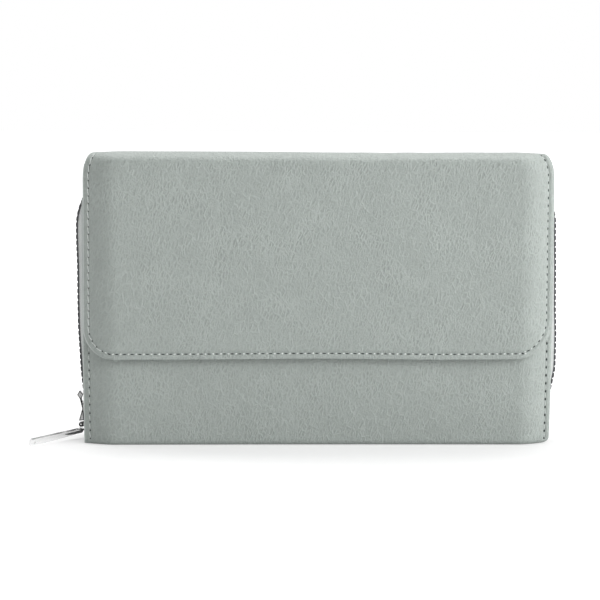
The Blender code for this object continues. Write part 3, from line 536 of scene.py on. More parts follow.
def grooved(distance, depth=0.45 * MM, width=0.62 * MM):
    """How far a seam pulls the surface in, by distance from its line."""
    return -depth * np.exp(-((distance / width) ** 2))


def spread(half, fine, coarse):
    """Column places from -half to half, finer near both ends."""
    near = np.concatenate([np.linspace(0, FINE_RIM, fine), np.linspace(FINE_RIM, ROLL, 11)[1:]])
    right = half - near
    middle = np.linspace(-(half - ROLL), half - ROLL, coarse + 1)
    return np.concatenate([-right[:-1], middle, right[::-1][1:]])


def stitch_look(length, radius, rise, outward, slant, hole, hole_in):
    return {
        "length": length, "radius": radius * MM, "rise": rise * MM, "outward": outward * MM, "slant": slant,
        "hole": (hole[0] * MM, hole[1] * MM), "hole_in": hole_in * MM,
    }


PLAIN_STITCH = stitch_look(0.66, 0.2, 0.1, 0.0, 0.13, (0.35, 0.2), 0.0)
HEM_STITCH = stitch_look(0.3, 0.32, 0.22, 0.0, 0.2, (0.75, 0.26), 0.0)
LEFT_STITCH = stitch_look(0.95, 0.24, 0.12, 0.16, 0.16, (0.42, 0.3), 0.26)
RIGHT_STITCH = stitch_look(0.6, 0.12, 0.0, 0.0, 0.1, (0.54, 0.42), 0.05)
FRONT_LEFT_STITCH = stitch_look(0.55, 0.15, 0.02, 0.12, 0.14, (0.42, 0.32), 0.05)
FRONT_SEAMS = (
    (-1, "left", FRONT_LEFT_INSET, 3.5 * MM, FRONT_LEFT_STITCH),
    (1, "right", STITCH_INSET, 3.28 * MM, RIGHT_STITCH),
)


def flap_stitch(p, t):
    """The look of the flap's stitch at p, where the seam runs along t."""
    if abs(t[0]) > 0.8:
        return HEM_STITCH
    return LEFT_STITCH if p[0] < 0 else RIGHT_STITCH


def resample(points, normals, pitch):
    """Places along a path at each pitch, with tangents and normals."""
    run = np.concatenate([[0], np.cumsum(np.linalg.norm(np.diff(points, axis=0), axis=1))])
    count = max(int(round(run[-1] / pitch)), 1)
    at = (np.arange(count) + 0.5) * run[-1] / count
    tangent = unit(between(at + pitch * 0.3, run, points) - between(at - pitch * 0.3, run, points))
    normal = between(at, run, normals)
    normal = unit(normal - tangent * (normal * tangent).sum(1, keepdims=True))
    return between(at, run, points), tangent, normal, run[-1] / count


def stitches(name, points, normals, body, pitch, style=PLAIN_STITCH, holes=True):
    """A seam: one thread segment and one needle-hole mark per stitch, a near-black dome of painted shade;
    style is a look or gives each one's.
    """
    place, tangent, normal, step = resample(points, normals, pitch)
    verts, faces, hole_verts, hole_faces = [], [], [], []
    for p, t, n, s in zip(place, tangent, normal, np.cross(normal, tangent)):
        look = style(p, t) if callable(style) else style
        away = np.array([p[0], 0.0, p[2] - SEAM_CENTRE_Z])
        outward = s if s.dot(away) > 0 else -s
        slanted = t * 0.99 + s * look["slant"]
        middle = p + outward * look["outward"]
        faces += ring_faces(len(STITCH_RINGS), STITCH_SIDES, len(verts), (-1, 1))
        for along, lift, fat in STITCH_RINGS:
            centre = middle + slanted * step * look["length"] / 2 * along + n * look["rise"] * lift
            radius = look["radius"] * fat
            verts += circle(centre, s * radius, n * radius, STITCH_SIDES)
        # A small near-black dome by each stitch: the painted shade of its needle hole
        centre = p + t * step / 2 - outward * look["hole_in"]
        hole_faces += ring_faces(len(HOLE_RINGS), HOLE_SIDES, len(hole_verts), (0, 1))
        for level, fat in HOLE_RINGS:
            u, v = t * look["hole"][0] * fat, s * look["hole"][1] * fat
            hole_verts += circle(centre + n * level, u, v, HOLE_SIDES)
    link_faces(name, verts, faces, THREAD, body)
    if holes:
        link_faces(name + "_hole_shades", hole_verts, hole_faces, HOLE_SHADE, body)


def front_half(z):
    return BODY_HALF + FRONT_SIDE + FRONT_FLARE * pillow(z, FLARE_RISE)


def back_half(z):
    return BODY_HALF - PANEL_TAPER + 2 * PANEL_TAPER * share_of(z, HEIGHT)


def case_surface(side, edge, crown, top, half_at, round_top=0.0, offset=0.0, foot=0.0, inset=0.0):
    """A cover's outer surface as a fine grid, from its top down to the spine, and each row's kind."""
    rows = []
    if round_top:
        for i in range(14):
            angle = math.pi / 2 * (14 - i) / 14
            z = top - round_top + round_top * math.sin(angle)
            rows.append(("face", z, round_top * (1 - math.cos(angle))))
    rows += [("face", z, 0.0) for z in np.linspace(top - round_top, foot or FOOT_RADIUS, 92)]
    if not foot:
        rows += [("turn", math.pi / 2 * (i + 1) / 8, 0.0) for i in range(8)]
        rows += [("base", share, 0.0) for share in (0.33, 0.66, 1.0)]
    reach = FOOT_RADIUS - offset
    grid = []
    for kind, value, drawn in rows:
        z = value if kind == "face" else 0.0
        half = float(half_at(z))
        x = spread(half, 18, 150) * (half - drawn - inset) / half
        rise = pillow(half - np.abs(x))
        if round_top and kind == "face":
            rise = rise * float(pillow(top - z + ROLL / 2))
        depth = edge + crown * rise
        if kind == "face":
            y = depth - offset
        elif kind == "turn":
            y = depth - FOOT_RADIUS + reach * math.cos(value)
            z = FOOT_RADIUS - reach * math.sin(value)
        else:
            y = (depth - FOOT_RADIUS) * (1 - value) + 0.02 * MM * value
            z = offset
        grid.append(np.stack([x, side * y + ZIP_Y, np.full_like(x, z)], -1))
    return np.array(grid), np.array([row[0] for row in rows])


def line_on_rows(grid, places, rows):
    """Points and outward normals on a grid's rows, at each row's own place in X."""
    out = normals_of(grid)
    points, normals = [], []
    for r in rows:
        order = np.argsort(grid[r, :, 0])
        known = grid[r, order, 0]
        points.append(between(places[r], known, grid[r, order]))
        normals.append(between(places[r], known, out[r, order]))
    return np.array(points), np.array(normals)


def make_front_panel():
    grid, kinds = case_surface(-1, FRONT_EDGE, FRONT_CROWN, MOUTH, front_half)
    out = facing(normals_of(grid), (0, -1, -0.3))
    x, z = grid[..., 0], grid[..., 2]
    half = front_half(z)
    edge = half - np.abs(x)
    lift = waves(grid, 0.3, 0.1, 3) * share_of(edge, EDGE_FADE) * share_of(z, FOOT_FADE)
    seam = edge - np.where(x < 0, FRONT_LEFT_INSET, STITCH_INSET)
    lift = lift + grooved(seam, curve(x, SEAM_DEPTH)) * (kinds == "face")[:, None]
    tuck = curve(x, FOOT_TUCK) * (1 - share_of(z, TUCK_RISE)) ** 2
    tuck = tuck * share_of(ZIP_Y - grid[..., 1], FRONT_EDGE)
    low = np.clip(RIGHT_FOOT_CORNER - z, 0, RIGHT_FOOT_CORNER)
    draw = RIGHT_FOOT_CORNER - np.sqrt(RIGHT_FOOT_CORNER ** 2 - low ** 2)
    draw = draw * share_of(x - (half - ROLL), ROLL) ** 2
    grid = grid + np.stack([-draw, tuck, 0 * tuck], -1)
    outer = grid + out * lift[..., None]
    inner = grid - out * LEATHER
    # The second material paints a highlight on the side rims and the edge columns
    materials = [SHELL, PAINTED_RIM_HIGHLIGHT]
    panel("front_panel_leather", outer, inner, materials, "front_case", "front_panel", rim_highlight=(0, 1, -1))
    for side, word, seam_in, pitch, look in FRONT_SEAMS:
        places = side * (front_half(grid[:, 0, 2]) - seam_in)
        points, normals = line_on_rows(outer, places, np.flatnonzero(kinds == "face"))
        stitches(f"front_seam_{word}", points, facing(normals, (0, -1, 0)), "front_case", pitch, look)


def make_lining(name, surface, step, body, node_name):
    """A cloth behind a leather face; surface gives a grid at a depth under that face."""
    outer, inner = (surface(depth)[0][::step, ::3] for depth in (LEATHER + GAP, LEATHER + GAP + LINING))
    panel(name, outer, inner, [LINING_CLOTH], body, node_name, 0.15 * MM, 2)


def pocket_surface(depth):
    return case_surface(
        -1, FRONT_EDGE, FRONT_CROWN, MOUTH - POCKET_LINING_DROP, front_half,
        offset=depth, foot=POCKET_LINING_FOOT, inset=POCKET_LINING_INSET,
    )


def rounded_distance(x, z, half, top, corner):
    """Distance inwards from an outline with two rounded upper corners."""
    ax = np.abs(x)
    in_corner = (ax > half - corner) & (z > top - corner)
    round_part = corner - np.hypot(ax - (half - corner), z - (top - corner))
    return np.where(in_corner, round_part, np.minimum(half - ax, top - z))


def arch_path(half_at, foot, top, corner, inset):
    """An arch from the left foot over the top to the right foot, drawn in by inset."""
    left = [(-(float(half_at(z)) - inset), z) for z in np.linspace(foot, top - corner, 50)]
    middle = corner - float(half_at(top - corner))
    reach = corner - inset
    for a in np.linspace(math.pi, math.pi / 2, 16)[1:]:
        left.append((middle + reach * math.cos(a), top - corner + reach * math.sin(a)))
    return left + [(-x, z) for x, z in left[::-1]]


def on_grid(grid, out, path):
    """Points and normals of a grid's nearest places to a path in X and Z."""
    flat = grid.reshape(-1, 3)
    normals = out.reshape(-1, 3)
    points, ways = [], []
    for x, z in path:
        gone = (flat[:, 0] - x) ** 2 + (flat[:, 2] - z) ** 2
        near = np.argsort(gone)[:4]
        weight = 1 / (np.sqrt(gone[near]) + 1e-6)
        weight /= weight.sum()
        points.append((x, float((flat[near, 1] * weight).sum()), z))
        ways.append((normals[near] * weight[:, None]).sum(0))
    return np.array(points), np.array(ways)


def make_back_panel():
    grid, kinds = case_surface(1, PANEL_OUTER, BACK_CROWN, PANEL_TOP, back_half, round_top=PANEL_CORNER)
    out = facing(normals_of(grid), (0, 1, -0.3))
    x, z = grid[..., 0], grid[..., 2]
    inset = rounded_distance(x, z, back_half(z), PANEL_TOP, PANEL_CORNER)
    lift = waves(grid, 0.25, 0.08, 8) * share_of(inset, EDGE_FADE) * share_of(z, FOOT_FADE)
    lift = lift + grooved(inset - STITCH_INSET) * (kinds == "face")[:, None]
    outer = grid + out * lift[..., None]
    inner = grid - out * LEATHER
    panel("back_panel_leather", outer, inner, [SHELL], "back_cover", "back_panel")
    path = arch_path(back_half, FOOT_RADIUS, PANEL_TOP, PANEL_CORNER, STITCH_INSET)
    stitches("back_panel_seam", *on_grid(outer, out, path), "back_cover", 3.4 * MM)


def flap_narrowing(kind, value):
    """How far each of the flap's sides is drawn in towards the fold, as a rounded shoulder."""
    levels = {"top": 0.0, "fold": FOLD_RISE * (1.0 - math.cos(value)), "face": HEIGHT - value}
    share = 1.0 - min(levels[kind] / NARROWING_RISE, 1.0)
    return TOP_NARROWING * (1.0 - math.sqrt(1.0 - share * share))


def drawn_in(z, hem, corner, kind):
    """How far a rounded lower corner draws the flap's side in at a height."""
    rest = corner - (z - hem)
    if kind != "face" or rest <= 0:
        return 0.0
    return corner - math.sqrt(max(corner * corner - rest * rest, 0.0))


def flap_surface(offset=0.0, inset=0.0):
    """The flap's surface as a fine grid, from the hinge over the fold to the rounded hem.

    With it come each point's distance from the flap's edge and each row's kind.
    """
    hem, widest = FLAP_HEM + inset, RIGHT_CORNER - inset
    rows = [("top", share) for share in (0.0, 0.34, 0.67)]
    rows += [("fold", math.pi / 2 * i / 12) for i in range(13)]
    rows += [("face", z) for z in np.linspace(HEIGHT - FOLD_RISE, hem + widest, 76)[1:]]
    rows += [("face", hem + widest * (1 - math.sin(math.pi / 2 * i / 28))) for i in range(1, 29)]
    grid, insets = [], []
    for kind, value in rows:
        half = FLAP_HALF - flap_narrowing(kind, value)
        base = spread(half, 20, 160)
        ends = [drawn_in(value, hem, corner - inset, kind) for corner in (FLAP_CORNER, RIGHT_CORNER)]
        left, right = (half - end - inset for end in ends)
        x = base * np.where(base < 0, left, right) / half
        rise = pillow(half - np.abs(x))
        depth = FLAP_EDGE + FRONT_CROWN * rise
        fold = FOLD_SHARE * (depth - PANEL_OUTER)
        dip = TOP_DIP * (0.5 + 0.5 * np.cos(np.clip((x - DIP_MIDDLE) / DIP_REACH, -1, 1) * np.pi))
        top = HEIGHT + TOP_LOOK - SHOULDER_DROP * (1 - rise) - dip
        low = half - np.abs(x)
        if kind == "top":
            y = PANEL_OUTER + value * (depth - fold - PANEL_OUTER)
            z = top - offset
        elif kind == "fold":
            y = depth - fold + (fold - offset) * math.sin(value)
            z = top - FOLD_RISE + (FOLD_RISE - offset) * math.cos(value)
        else:
            y = depth - offset
            z = value + curve(x, HEM_WAVE) * share_of(WAVE_TOP - value, WAVE_REACH)
            corners = np.where(x < 0, FLAP_CORNER, RIGHT_CORNER)
            low = rounded_distance(x, -value, half, -FLAP_HEM, corners)
        grid.append(np.stack([x, -y + ZIP_Y, z], -1))
        insets.append(low)
    return np.array(grid), np.array(insets), np.array([row[0] for row in rows])


def seam_crossing(line, inset, out):
    """Where a row of the flap first comes in as far as the seam, and the normal there."""
    spot = int(np.argmax(inset[:len(line) // 2] >= STITCH_INSET))
    share = (STITCH_INSET - inset[spot - 1]) / (inset[spot] - inset[spot - 1])
    return line[spot - 1] * (1 - share) + line[spot] * share, out[spot]


def make_flap():
    grid, inset, kinds = flap_surface()
    out = facing(normals_of(grid), (0, -1, 1.2))
    lift = waves(grid, 0.34, 0.12, 5, (22, 22, 34), (100, 60, 75)) * share_of(inset, EDGE_FADE)
    lift = (lift + grooved(inset - STITCH_INSET, curve(grid[..., 0], SEAM_DEPTH))) * (kinds != "top")[:, None]
    outer = grid + out * lift[..., None]
    inner = grid - out * LEATHER
    # The second material paints a highlight on the left rim and its edge columns
    panel("flap_leather", outer, inner, [SHELL, PAINTED_RIM_HIGHLIGHT], "flap", "flap", 0.45 * MM, rim_highlight=(0, 1))

    # The seam's line, from the left of the fold round the hem to its right
    left, right = [], []
    middle = inset.shape[1] // 2
    for r in np.flatnonzero(kinds != "top")[3:]:
        if inset[r, :middle].max() < STITCH_INSET:
            break
        left.append(seam_crossing(outer[r], inset[r], out[r]))
        right.insert(0, seam_crossing(outer[r, ::-1], inset[r, ::-1], out[r, ::-1]))
    low = next(r for r in np.flatnonzero(kinds == "face") if inset[r, middle] <= STITCH_INSET)
    share = (STITCH_INSET - inset[low - 1, middle]) / (inset[low, middle] - inset[low - 1, middle])
    line = outer[low - 1] * (1 - share) + outer[low] * share
    away = out[low - 1] * (1 - share) + out[low] * share
    reach = -(left[-1][0][0] + 1 * MM)
    across = np.linspace(-reach, reach, 220)
    hem = zip(between(across, line[:, 0], line), between(across, line[:, 0], away))
    points, normals = (np.array(part) for part in zip(*left, *hem, *right))
    stitches("flap_seam", points, normals, "flap", 3.15 * MM, flap_stitch)


def slab(name, outline, depths, material, body, node_name, bevel=0.15 * MM):
    """An upright sheet from an outline in X and Z, between two depths, with rounded rims."""
    low, high = sorted(depths)
    shape = bmesh.new()
    base = shape.faces.new([shape.verts.new((x, low + ZIP_Y, z)) for x, z in outline])
    made = bmesh.ops.extrude_face_region(shape, geom=[base])
    for v in made["geom"]:
        if isinstance(v, bmesh.types.BMVert):
            v.co.y = high + ZIP_Y
    bmesh.ops.recalc_face_normals(shape, faces=shape.faces)
    caps = [f for f in shape.faces if len(f.verts) == len(outline)]
    edges = list(dict.fromkeys(e for f in caps for e in f.edges))
    round_edges(shape, edges, bevel, 2)
    bmesh.ops.triangulate(shape, faces=[f for f in shape.faces if len(f.verts) > 4])
    made = link(name, as_mesh(name, shape), [material], body, node_name)
    made.data.set_sharp_from_angle(angle=math.radians(40))


def arched(foot_half, half, foot, top, corner, steps=14):
    """An outline with a straight foot and two rounded upper corners."""
    middle, across, up = np.array(((half - corner, top - corner), (corner, 0.0), (0.0, corner)))
    right = circle(middle, across, up, 4 * steps)[:steps + 1]
    return [(-foot_half, foot), (foot_half, foot), *right, *((-x, z) for x, z in right[::-1])]


def box_outline(half, foot, top):
    return [(-half, foot), (half, foot), (half, top), (-half, top)]


def u_path(half, foot, top):
    return [(-half, top), (-half, foot), (half, foot), (half, top)]


def seam_on(name, path, y, way, body):
    """A seam without needle holes on a flat upright face at depth y, which faces way along Y."""
    points = np.array([(x, y + ZIP_Y, z) for x, z in path])
    normals = np.tile(np.array([0.0, float(way), 0.0]), (len(points), 1))
    stitches(name, points, normals, body, FLAT_SEAM_PITCH, holes=False)


def make_inside():
    """Middle panel, hinge strip, linings and card pockets."""
    outline = arched(BODY_HALF - PANEL_TAPER, BODY_HALF + PANEL_TAPER, PANEL_FOOT, PANEL_TOP, PANEL_CORNER)
    depths = (-PANEL_OUTER, -PANEL_FACE)
    slab("middle_panel_leather", outline, depths, INNER, "front_case", "middle_panel", 0.35 * MM)
    near = PANEL_OUTER + GAP
    strip = box_outline(STRIP_HALF, STRIP_FOOT, STRIP_TOP)
    depths = (-near - LEATHER, -near)
    slab("hinge_strip_leather", strip, depths, SHELL, "front_case", "flap_hinge_strip", 0.35 * MM)
    path = [(-STRIP_SEAM_HALF, STRIP_SEAM_Z), (STRIP_SEAM_HALF, STRIP_SEAM_Z)]
    seam_on("hinge_strip_seam", path, -near - LEATHER, -1, "front_case")
    lining = arched(LINING_HALF, LINING_HALF, LINING_FOOT, LINING_TOP, LINING_CORNER)
    for side, word, body in COVERS:
        depths = (side * LINING_FACE, side * (LINING_FACE + LINING))
        slab(f"{word}_cover_cloth", lining, depths, LINING_CLOTH, body, f"{word}_cover_lining")
        for layer, top in enumerate(CARD_TOPS):
            y = CARDS_FACE + layer * CARD_PITCH
            depths = (side * y, side * (y + CARD_SHEET))
            pocket = arched(CARD_HALF, CARD_HALF, CARD_FOOT, top, CARD_CORNER, 6)
            name = f"{word}_card_pocket_leather_{layer + 1}"
            slab(name, pocket, depths, INNER, body, f"{word}_card_pocket_{layer + 1}")
            path = [(-CARD_SEAM_HALF, top - CARD_SEAM_DROP), (CARD_SEAM_HALF, top - CARD_SEAM_DROP)]
            seam_on(f"{word}_card_seam_{layer + 1}", path, side * y, -side, body)
        path = [(0.0, z) for z in CARD_DIVIDER]
        seam_on(f"{word}_card_divider_seam", path, side * CARDS_FACE, -side, body)


class RimSide:
    """One side of the closed zip, from the middle of its top round the corner to a slanted foot."""

    def __init__(self, slant, slant_share, bend_share, lean):
        height = ZIP_TOP - ZIP_CORNER - ZIP_FOOT
        self.slant = slant
        self.lean = lean
        self.bend_top = ZIP_FOOT + bend_share * height
        self.slant_top = ZIP_FOOT + slant_share * height
        self.bend_radius = (self.bend_top - self.slant_top) / math.sin(slant)
        self.runs = (
            ZIP_HALF - ZIP_CORNER,
            ZIP_CORNER * math.pi / 2,
            ZIP_TOP - ZIP_CORNER - self.bend_top,
            self.bend_radius * slant,
            (self.slant_top - ZIP_FOOT) / math.cos(slant),
        )
        self.length = sum(self.runs)

    def at_height(self, z):
        """Arc length to the point of the slanted foot at height z."""
        return self.length - (z - ZIP_FOOT) / math.cos(self.slant)

    def point(self, run):
        """Place and outward normal at an arc length, as x, z, nx and nz, for the right-hand side."""
        top, corner, straight, bend, _ = self.runs
        if run <= top:
            return run, ZIP_TOP, 0.0, 1.0
        run -= top
        if run <= corner:
            nx, nz = math.sin(run / ZIP_CORNER), math.cos(run / ZIP_CORNER)
            return top + ZIP_CORNER * nx, ZIP_TOP - ZIP_CORNER * (1 - nz), nx, nz
        run -= corner
        if run <= straight:
            return ZIP_HALF, self.bend_top + straight - run, 1.0, 0.0
        run -= straight
        a = min(run / self.bend_radius, self.slant)
        nx, nz = math.cos(a), -math.sin(a)
        past = max(run - bend, 0.0)
        x = ZIP_HALF - self.bend_radius * (1 - nx) + past * nz
        return x, self.bend_top + self.bend_radius * nz - past * nx, nx, nz


LEFT_RIM = RimSide(*LEFT_SLANT, LEFT_LEAN)
RIGHT_RIM = RimSide(*RIGHT_SLANT, RIGHT_LEAN)


def rim_place(length, lift, depth):
    """A place by the closed zip's line, by arc length from the middle of its top, left below 0."""
    side, rim = (1, RIGHT_RIM) if length >= 0 else (-1, LEFT_RIM)
    x, z, nx, nz = rim.point(abs(length))
    return Vector((side * (x + nx * lift) + curve(z, rim.lean), depth + ZIP_Y, z + nz * lift))


def mouth_place(length, lift, depth):
    """A place by the coin purse's straight zip."""
    return Vector((length, depth + ZIP_Y, COIN_ZIP_Z + lift))


TOOTH_RING = ((1, 0.68), (0.68, 1), (-0.68, 1), (-1, 0.68), (-1, -0.68), (-0.68, -1), (0.68, -1), (1, -0.68))


def tooth_shape(reach, near, far, root, tip, thick):
    """One tooth with a waist and a rounded head: X is depth, Y along the zip and Z its thickness."""
    stations = [
        (far, root * 0.5, thick * 0.5),
        (near + 0.25 * MM, root * 0.5, thick * 0.5),
        (near - 0.45 * MM, root * 0.36, thick * 0.42),
        (-reach * 0.1, tip * 0.46, thick * 0.48),
        (-reach * 0.7, tip * 0.5, thick * 0.46),
        (-reach, tip * 0.32, thick * 0.3),
    ]
    shape = bmesh.new()
    verts = [shape.verts.new((x, w * y, h * z)) for x, w, h in stations for y, z in TOOTH_RING]
    for face in ring_faces(len(stations), len(TOOTH_RING), ends=(1, -1)):
        shape.faces.new([verts[i] for i in face])
    bmesh.ops.recalc_face_normals(shape, faces=shape.faces)
    shape.verts.index_update()
    points = [tuple(v.co) for v in shape.verts]
    faces = [[v.index for v in f.verts] for f in shape.faces]
    shape.free()
    return points, faces


MAIN_ROW = {
    "place": rim_place,
    "pitch": TOOTH_PITCH,
    "tooth": tooth_shape(0.5 * MM, 1.5 * MM, 3.2 * MM, 2.2 * MM, 1.1 * MM, 2.4 * MM),
    "cord": ((2.9 * MM, 0.0), (0.6 * MM, 0.0), (0.0, 0.35 * MM)),
}
COIN_ROW = {
    "place": mouth_place,
    "pitch": COIN_PITCH,
    "tooth": tooth_shape(0.4 * MM, 0.9 * MM, 1.7 * MM, 1.2 * MM, 0.95 * MM, 1.5 * MM),
    "cord": ((1.525 * MM, 0.0), (0.325 * MM, 0.0), (0.0, 0.6 * MM)),
}
CORD_SIDES = 10
CORD_STATIONS = 160


def make_row(name, side, start, end, body, node_name, place, pitch, tooth, cord):
    """A fine row of teeth and the cord that they are clamped on.

    The cord is its middle and its two radii, each as depth and lift.
    """
    points, faces = tooth
    shift = 0.0 if side < 0 else pitch / 2
    deep = Vector((0.0, side, 0.0))
    verts, polys = [], []
    for i in range(math.ceil((start + MM - shift) / pitch), math.floor((end - MM - shift) / pitch) + 1):
        s = i * pitch + shift
        origin = place(s, 0.0, 0.0)
        up = (place(s, MM, 0.0) - origin).normalized()
        along = up.cross(deep)
        polys += [[len(verts) + k for k in f] for f in faces]
        verts += [origin + deep * x + along * y + up * z for x, y, z in points]
    made = link(name, from_lists(name, verts, polys), [TEETH], body, node_name)
    made.data.set_sharp_from_angle(angle=math.radians(50))
    middle, depth, thick = (Vector(pair) for pair in cord)
    ring = circle(middle, depth, thick, CORD_SIDES)
    verts = [place(s, lift, side * y) for s in np.linspace(start, end, CORD_STATIONS) for y, lift in ring]
    link_faces(name + "_cord", verts, ring_faces(CORD_STATIONS, CORD_SIDES, ends=(1, -1)), TAPE_CLOTH, body)


def make_tape(name, side, start, body, node_name):
    """The zip's tape, which bows a little between the cord and its panel."""
    stations = [start, *np.linspace(start + MM, RIGHT_RIM.length, 240)]
    grids = []
    for half in (TAPE_HALF, -TAPE_HALF):
        grid = []
        for s in stations:
            bow = TAPE_BOW + TAPE_RIPPLE * math.sin(s * RIPPLE_TURNS)
            for t in np.linspace(0, 1, 9):
                lift = bow * math.sin(math.pi * t) - TAPE_DROP * t + half
                grid.append(rim_place(s, lift, side * (TAPE_NEAR + (TAPE_FAR - TAPE_NEAR) * t)))
        grids.append(np.array(grid).reshape(len(stations), -1, 3))
    panel(name, *grids, [TAPE_CLOTH], body, node_name, 0.1 * MM, 2)


def make_zips():
    outline = box_outline(COIN_ZIP_HALF, COIN_TAPE_FOOT, COIN_TAPE_TOP)
    for side, word, body in COVERS:
        start = -LEFT_RIM.at_height(ZIP_FOOT if side < 0 else COVER_ROW_FOOT)
        make_row(f"{word}_teeth", side, start, RIGHT_RIM.length, body, f"{word}_zip_teeth", **MAIN_ROW)
        make_tape(f"{word}_tape_cloth", side, start, body, f"{word}_zip_tape")
    for side, word, _ in COVERS:
        name = f"coin_zip_teeth_{word}"
        make_row(f"coin_teeth_{word}", side, -COIN_ZIP_HALF, COIN_ZIP_HALF, "coin_purse", name, **COIN_ROW)
        depths = [side * depth for depth in COIN_TAPE_DEPTHS]
        slab(f"coin_tape_cloth_{word}", outline, depths, TAPE_CLOTH, "coin_purse", f"coin_zip_tape_{word}")


def make_purse():
    x, z = np.meshgrid(np.linspace(-PURSE_HALF, PURSE_HALF, 120), np.linspace(PURSE_TOP, PURSE_FOOT, 60))
    edge = np.minimum(np.minimum(PURSE_HALF - np.abs(x), z - PURSE_FOOT), PURSE_TOP - z)
    full = pillow(edge, PURSE_ROLL)
    for side, word, _ in COVERS:
        base = np.stack([x, np.full_like(x, side * PURSE_FACE + ZIP_Y), z], -1)
        ripple = PURSE_RIPPLE * noise_field(base, (60, 60, 80), 11 + side) * full
        lift = PURSE_PUFF * full + ripple + grooved(edge - PURSE_SEAM_IN, 0.15 * MM, 0.5 * MM)
        outer, inner = base.copy(), base.copy()
        outer[..., 1] += side * lift
        inner[..., 1] -= side * PURSE_CLOTH
        name = f"coin_purse_cloth_{word}"
        panel(name, outer, inner, [LINING_CLOTH], "coin_purse", f"coin_purse_{word}", 0.25 * MM, 2)
        path = u_path(PURSE_HALF - PURSE_SEAM_IN, PURSE_FOOT + PURSE_SEAM_IN, PURSE_TOP - PURSE_SEAM_IN)
        seam_on(f"coin_purse_seam_{word}", path, side * (PURSE_FACE - 0.1 * MM), side, "coin_purse")
    half, foot = PURSE_HALF - PURSE_CLOTH, PURSE_FOOT + PURSE_CLOTH
    outline = u_path(PURSE_HALF, PURSE_FOOT, PURSE_TOP) + u_path(half, foot, PURSE_TOP)[::-1]
    depths = (-PURSE_EDGE_DEPTH, PURSE_EDGE_DEPTH)
    slab("coin_purse_binding", outline, depths, TAPE_CLOTH, "coin_purse", "coin_purse_edge", 0.2 * MM)
    tab = box_outline(PURSE_HALF, TAB_FOOT, TAB_TOP)
    depths = (-TAB_DEPTH, TAB_DEPTH)
    slab("coin_purse_tab_cloth", tab, depths, LINING_CLOTH, "coin_purse", "coin_purse_hinge_tab", 0.1 * MM)


def make_gussets():
    """The folded side gussets."""
    outer_y = CARDS_FACE - GAP - GUSSET_HALF_CLOTH
    inner_y = PURSE_FACE + GAP + GUSSET_HALF_CLOTH
    share = np.concatenate([np.linspace(0, 0.5, 14), np.linspace(0.5, 1, 14)[1:]])
    t, z = np.meshgrid(share, np.linspace(GUSSET_TOP, GUSSET_FOOT, 40))
    x = np.interp(t, (0, 0.5, 1), (CARD_HALF, GUSSET_APEX, GUSSET_INNER))
    x = x + GUSSET_WAVE * np.sin(z * GUSSET_TURNS) * np.sin(np.pi * t)
    y = outer_y + (inner_y - outer_y) * t
    for side, word, body in COVERS:
        for hand, hand_word in ((-1, "left"), (1, "right")):
            grid = np.stack([hand * x, side * y + ZIP_Y, z], -1)
            cloth_half = normals_of(grid) * GUSSET_HALF_CLOTH
            name = f"{word}_gusset_cloth_{hand_word}"
            node_name = f"{word}_gusset_{hand_word}"
            made = panel(name, grid + cloth_half, grid - cloth_half, [LINING_CLOTH], None, node_name, 0.0)
            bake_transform(made)


def outlined(shape):
    """Broadens the knob and sets a dark border of painted edge shade inside each face that looks to the front
    or back.
    """
    top = max(v.co.z for v in shape.verts)
    knob = [v for v in shape.verts if v.co.z > top - KNOB_HEIGHT]
    middle = sum((v.co for v in knob), Vector()) / len(knob)
    for v in knob:
        v.co = middle + KNOB_SHIFT + (v.co - middle) * KNOB_SIZE
    faces = [f for f in shape.faces if abs(f.normal.y) > 0.9 and f.calc_area() > 1e-6]
    made = bmesh.ops.inset_individual(shape, faces=faces, thickness=OUTLINE, use_even_offset=True)
    for face in made["faces"]:
        face.material_index = 1


def pull_axes():
    """The pull's level way, its run from the pin, its face's normal and its upward width."""
    level = Vector((-math.cos(PULL_YAW), -math.sin(PULL_YAW), 0.0))
    run = level * math.cos(PULL_FALL) - Vector((0.0, 0.0, math.sin(PULL_FALL)))
    front = Vector((math.sin(PULL_YAW), -math.cos(PULL_YAW), 0.0))
    face = front * math.cos(PULL_LEAN) + run.cross(front) * math.sin(PULL_LEAN)
    across = run.cross(face)
    return level, run, face, across * (1 if across.z > 0 else -1)


def widen_pull(shape):
    """Broadens the pull's flat tab upwards and lengthens it, past its stem."""
    level, run, _, across = pull_axes()
    for v in shape.verts:
        gone = v.co - PIN_PLACE
        past = gone.dot(run) - PULL_STEM
        if past > 0:
            low = (PULL_HIGH - gone.dot(across)) / (PULL_HIGH - PULL_LOW)
            share = past / PULL_END
            v.co -= run * PULL_SKEW * low * share + across * PULL_DROP * low * (1.0 - share)
            v.co += across * (gone.dot(across) - PULL_LOW) * PULL_WIDER + level * past * PULL_LONGER


def dressed(node_name, name, body, bevel, material=SILVER, line=SILVER_EDGE_SHADE, shaped=None):
    """A CAD piece's own shape with its edges broken by bevel mm, which stands for it."""
    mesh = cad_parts[node_name].data.copy()
    mesh.materials.clear()
    shape = bmesh.new()
    shape.from_mesh(mesh)
    bmesh.ops.remove_doubles(shape, verts=shape.verts, dist=0.002 * MM)
    bmesh.ops.dissolve_limit(shape, angle_limit=math.radians(1), verts=shape.verts, edges=shape.edges)
    if shaped:
        shaped(shape)
    shape.to_mesh(mesh)
    shape.free()
    made = link(name, mesh, [material, line], body, node_name)
    mesh.set_sharp_from_angle(angle=math.radians(60))
    step = made.modifiers.new("edges", "BEVEL")
    step.width = bevel * MM
    step.segments = 3
    step.limit_method = "ANGLE"
    step.angle_limit = math.radians(32)
    step.harden_normals = True
    step.use_clamp_overlap = True
    # The bevels take the second material, a painted edge shade
    step.material = 1


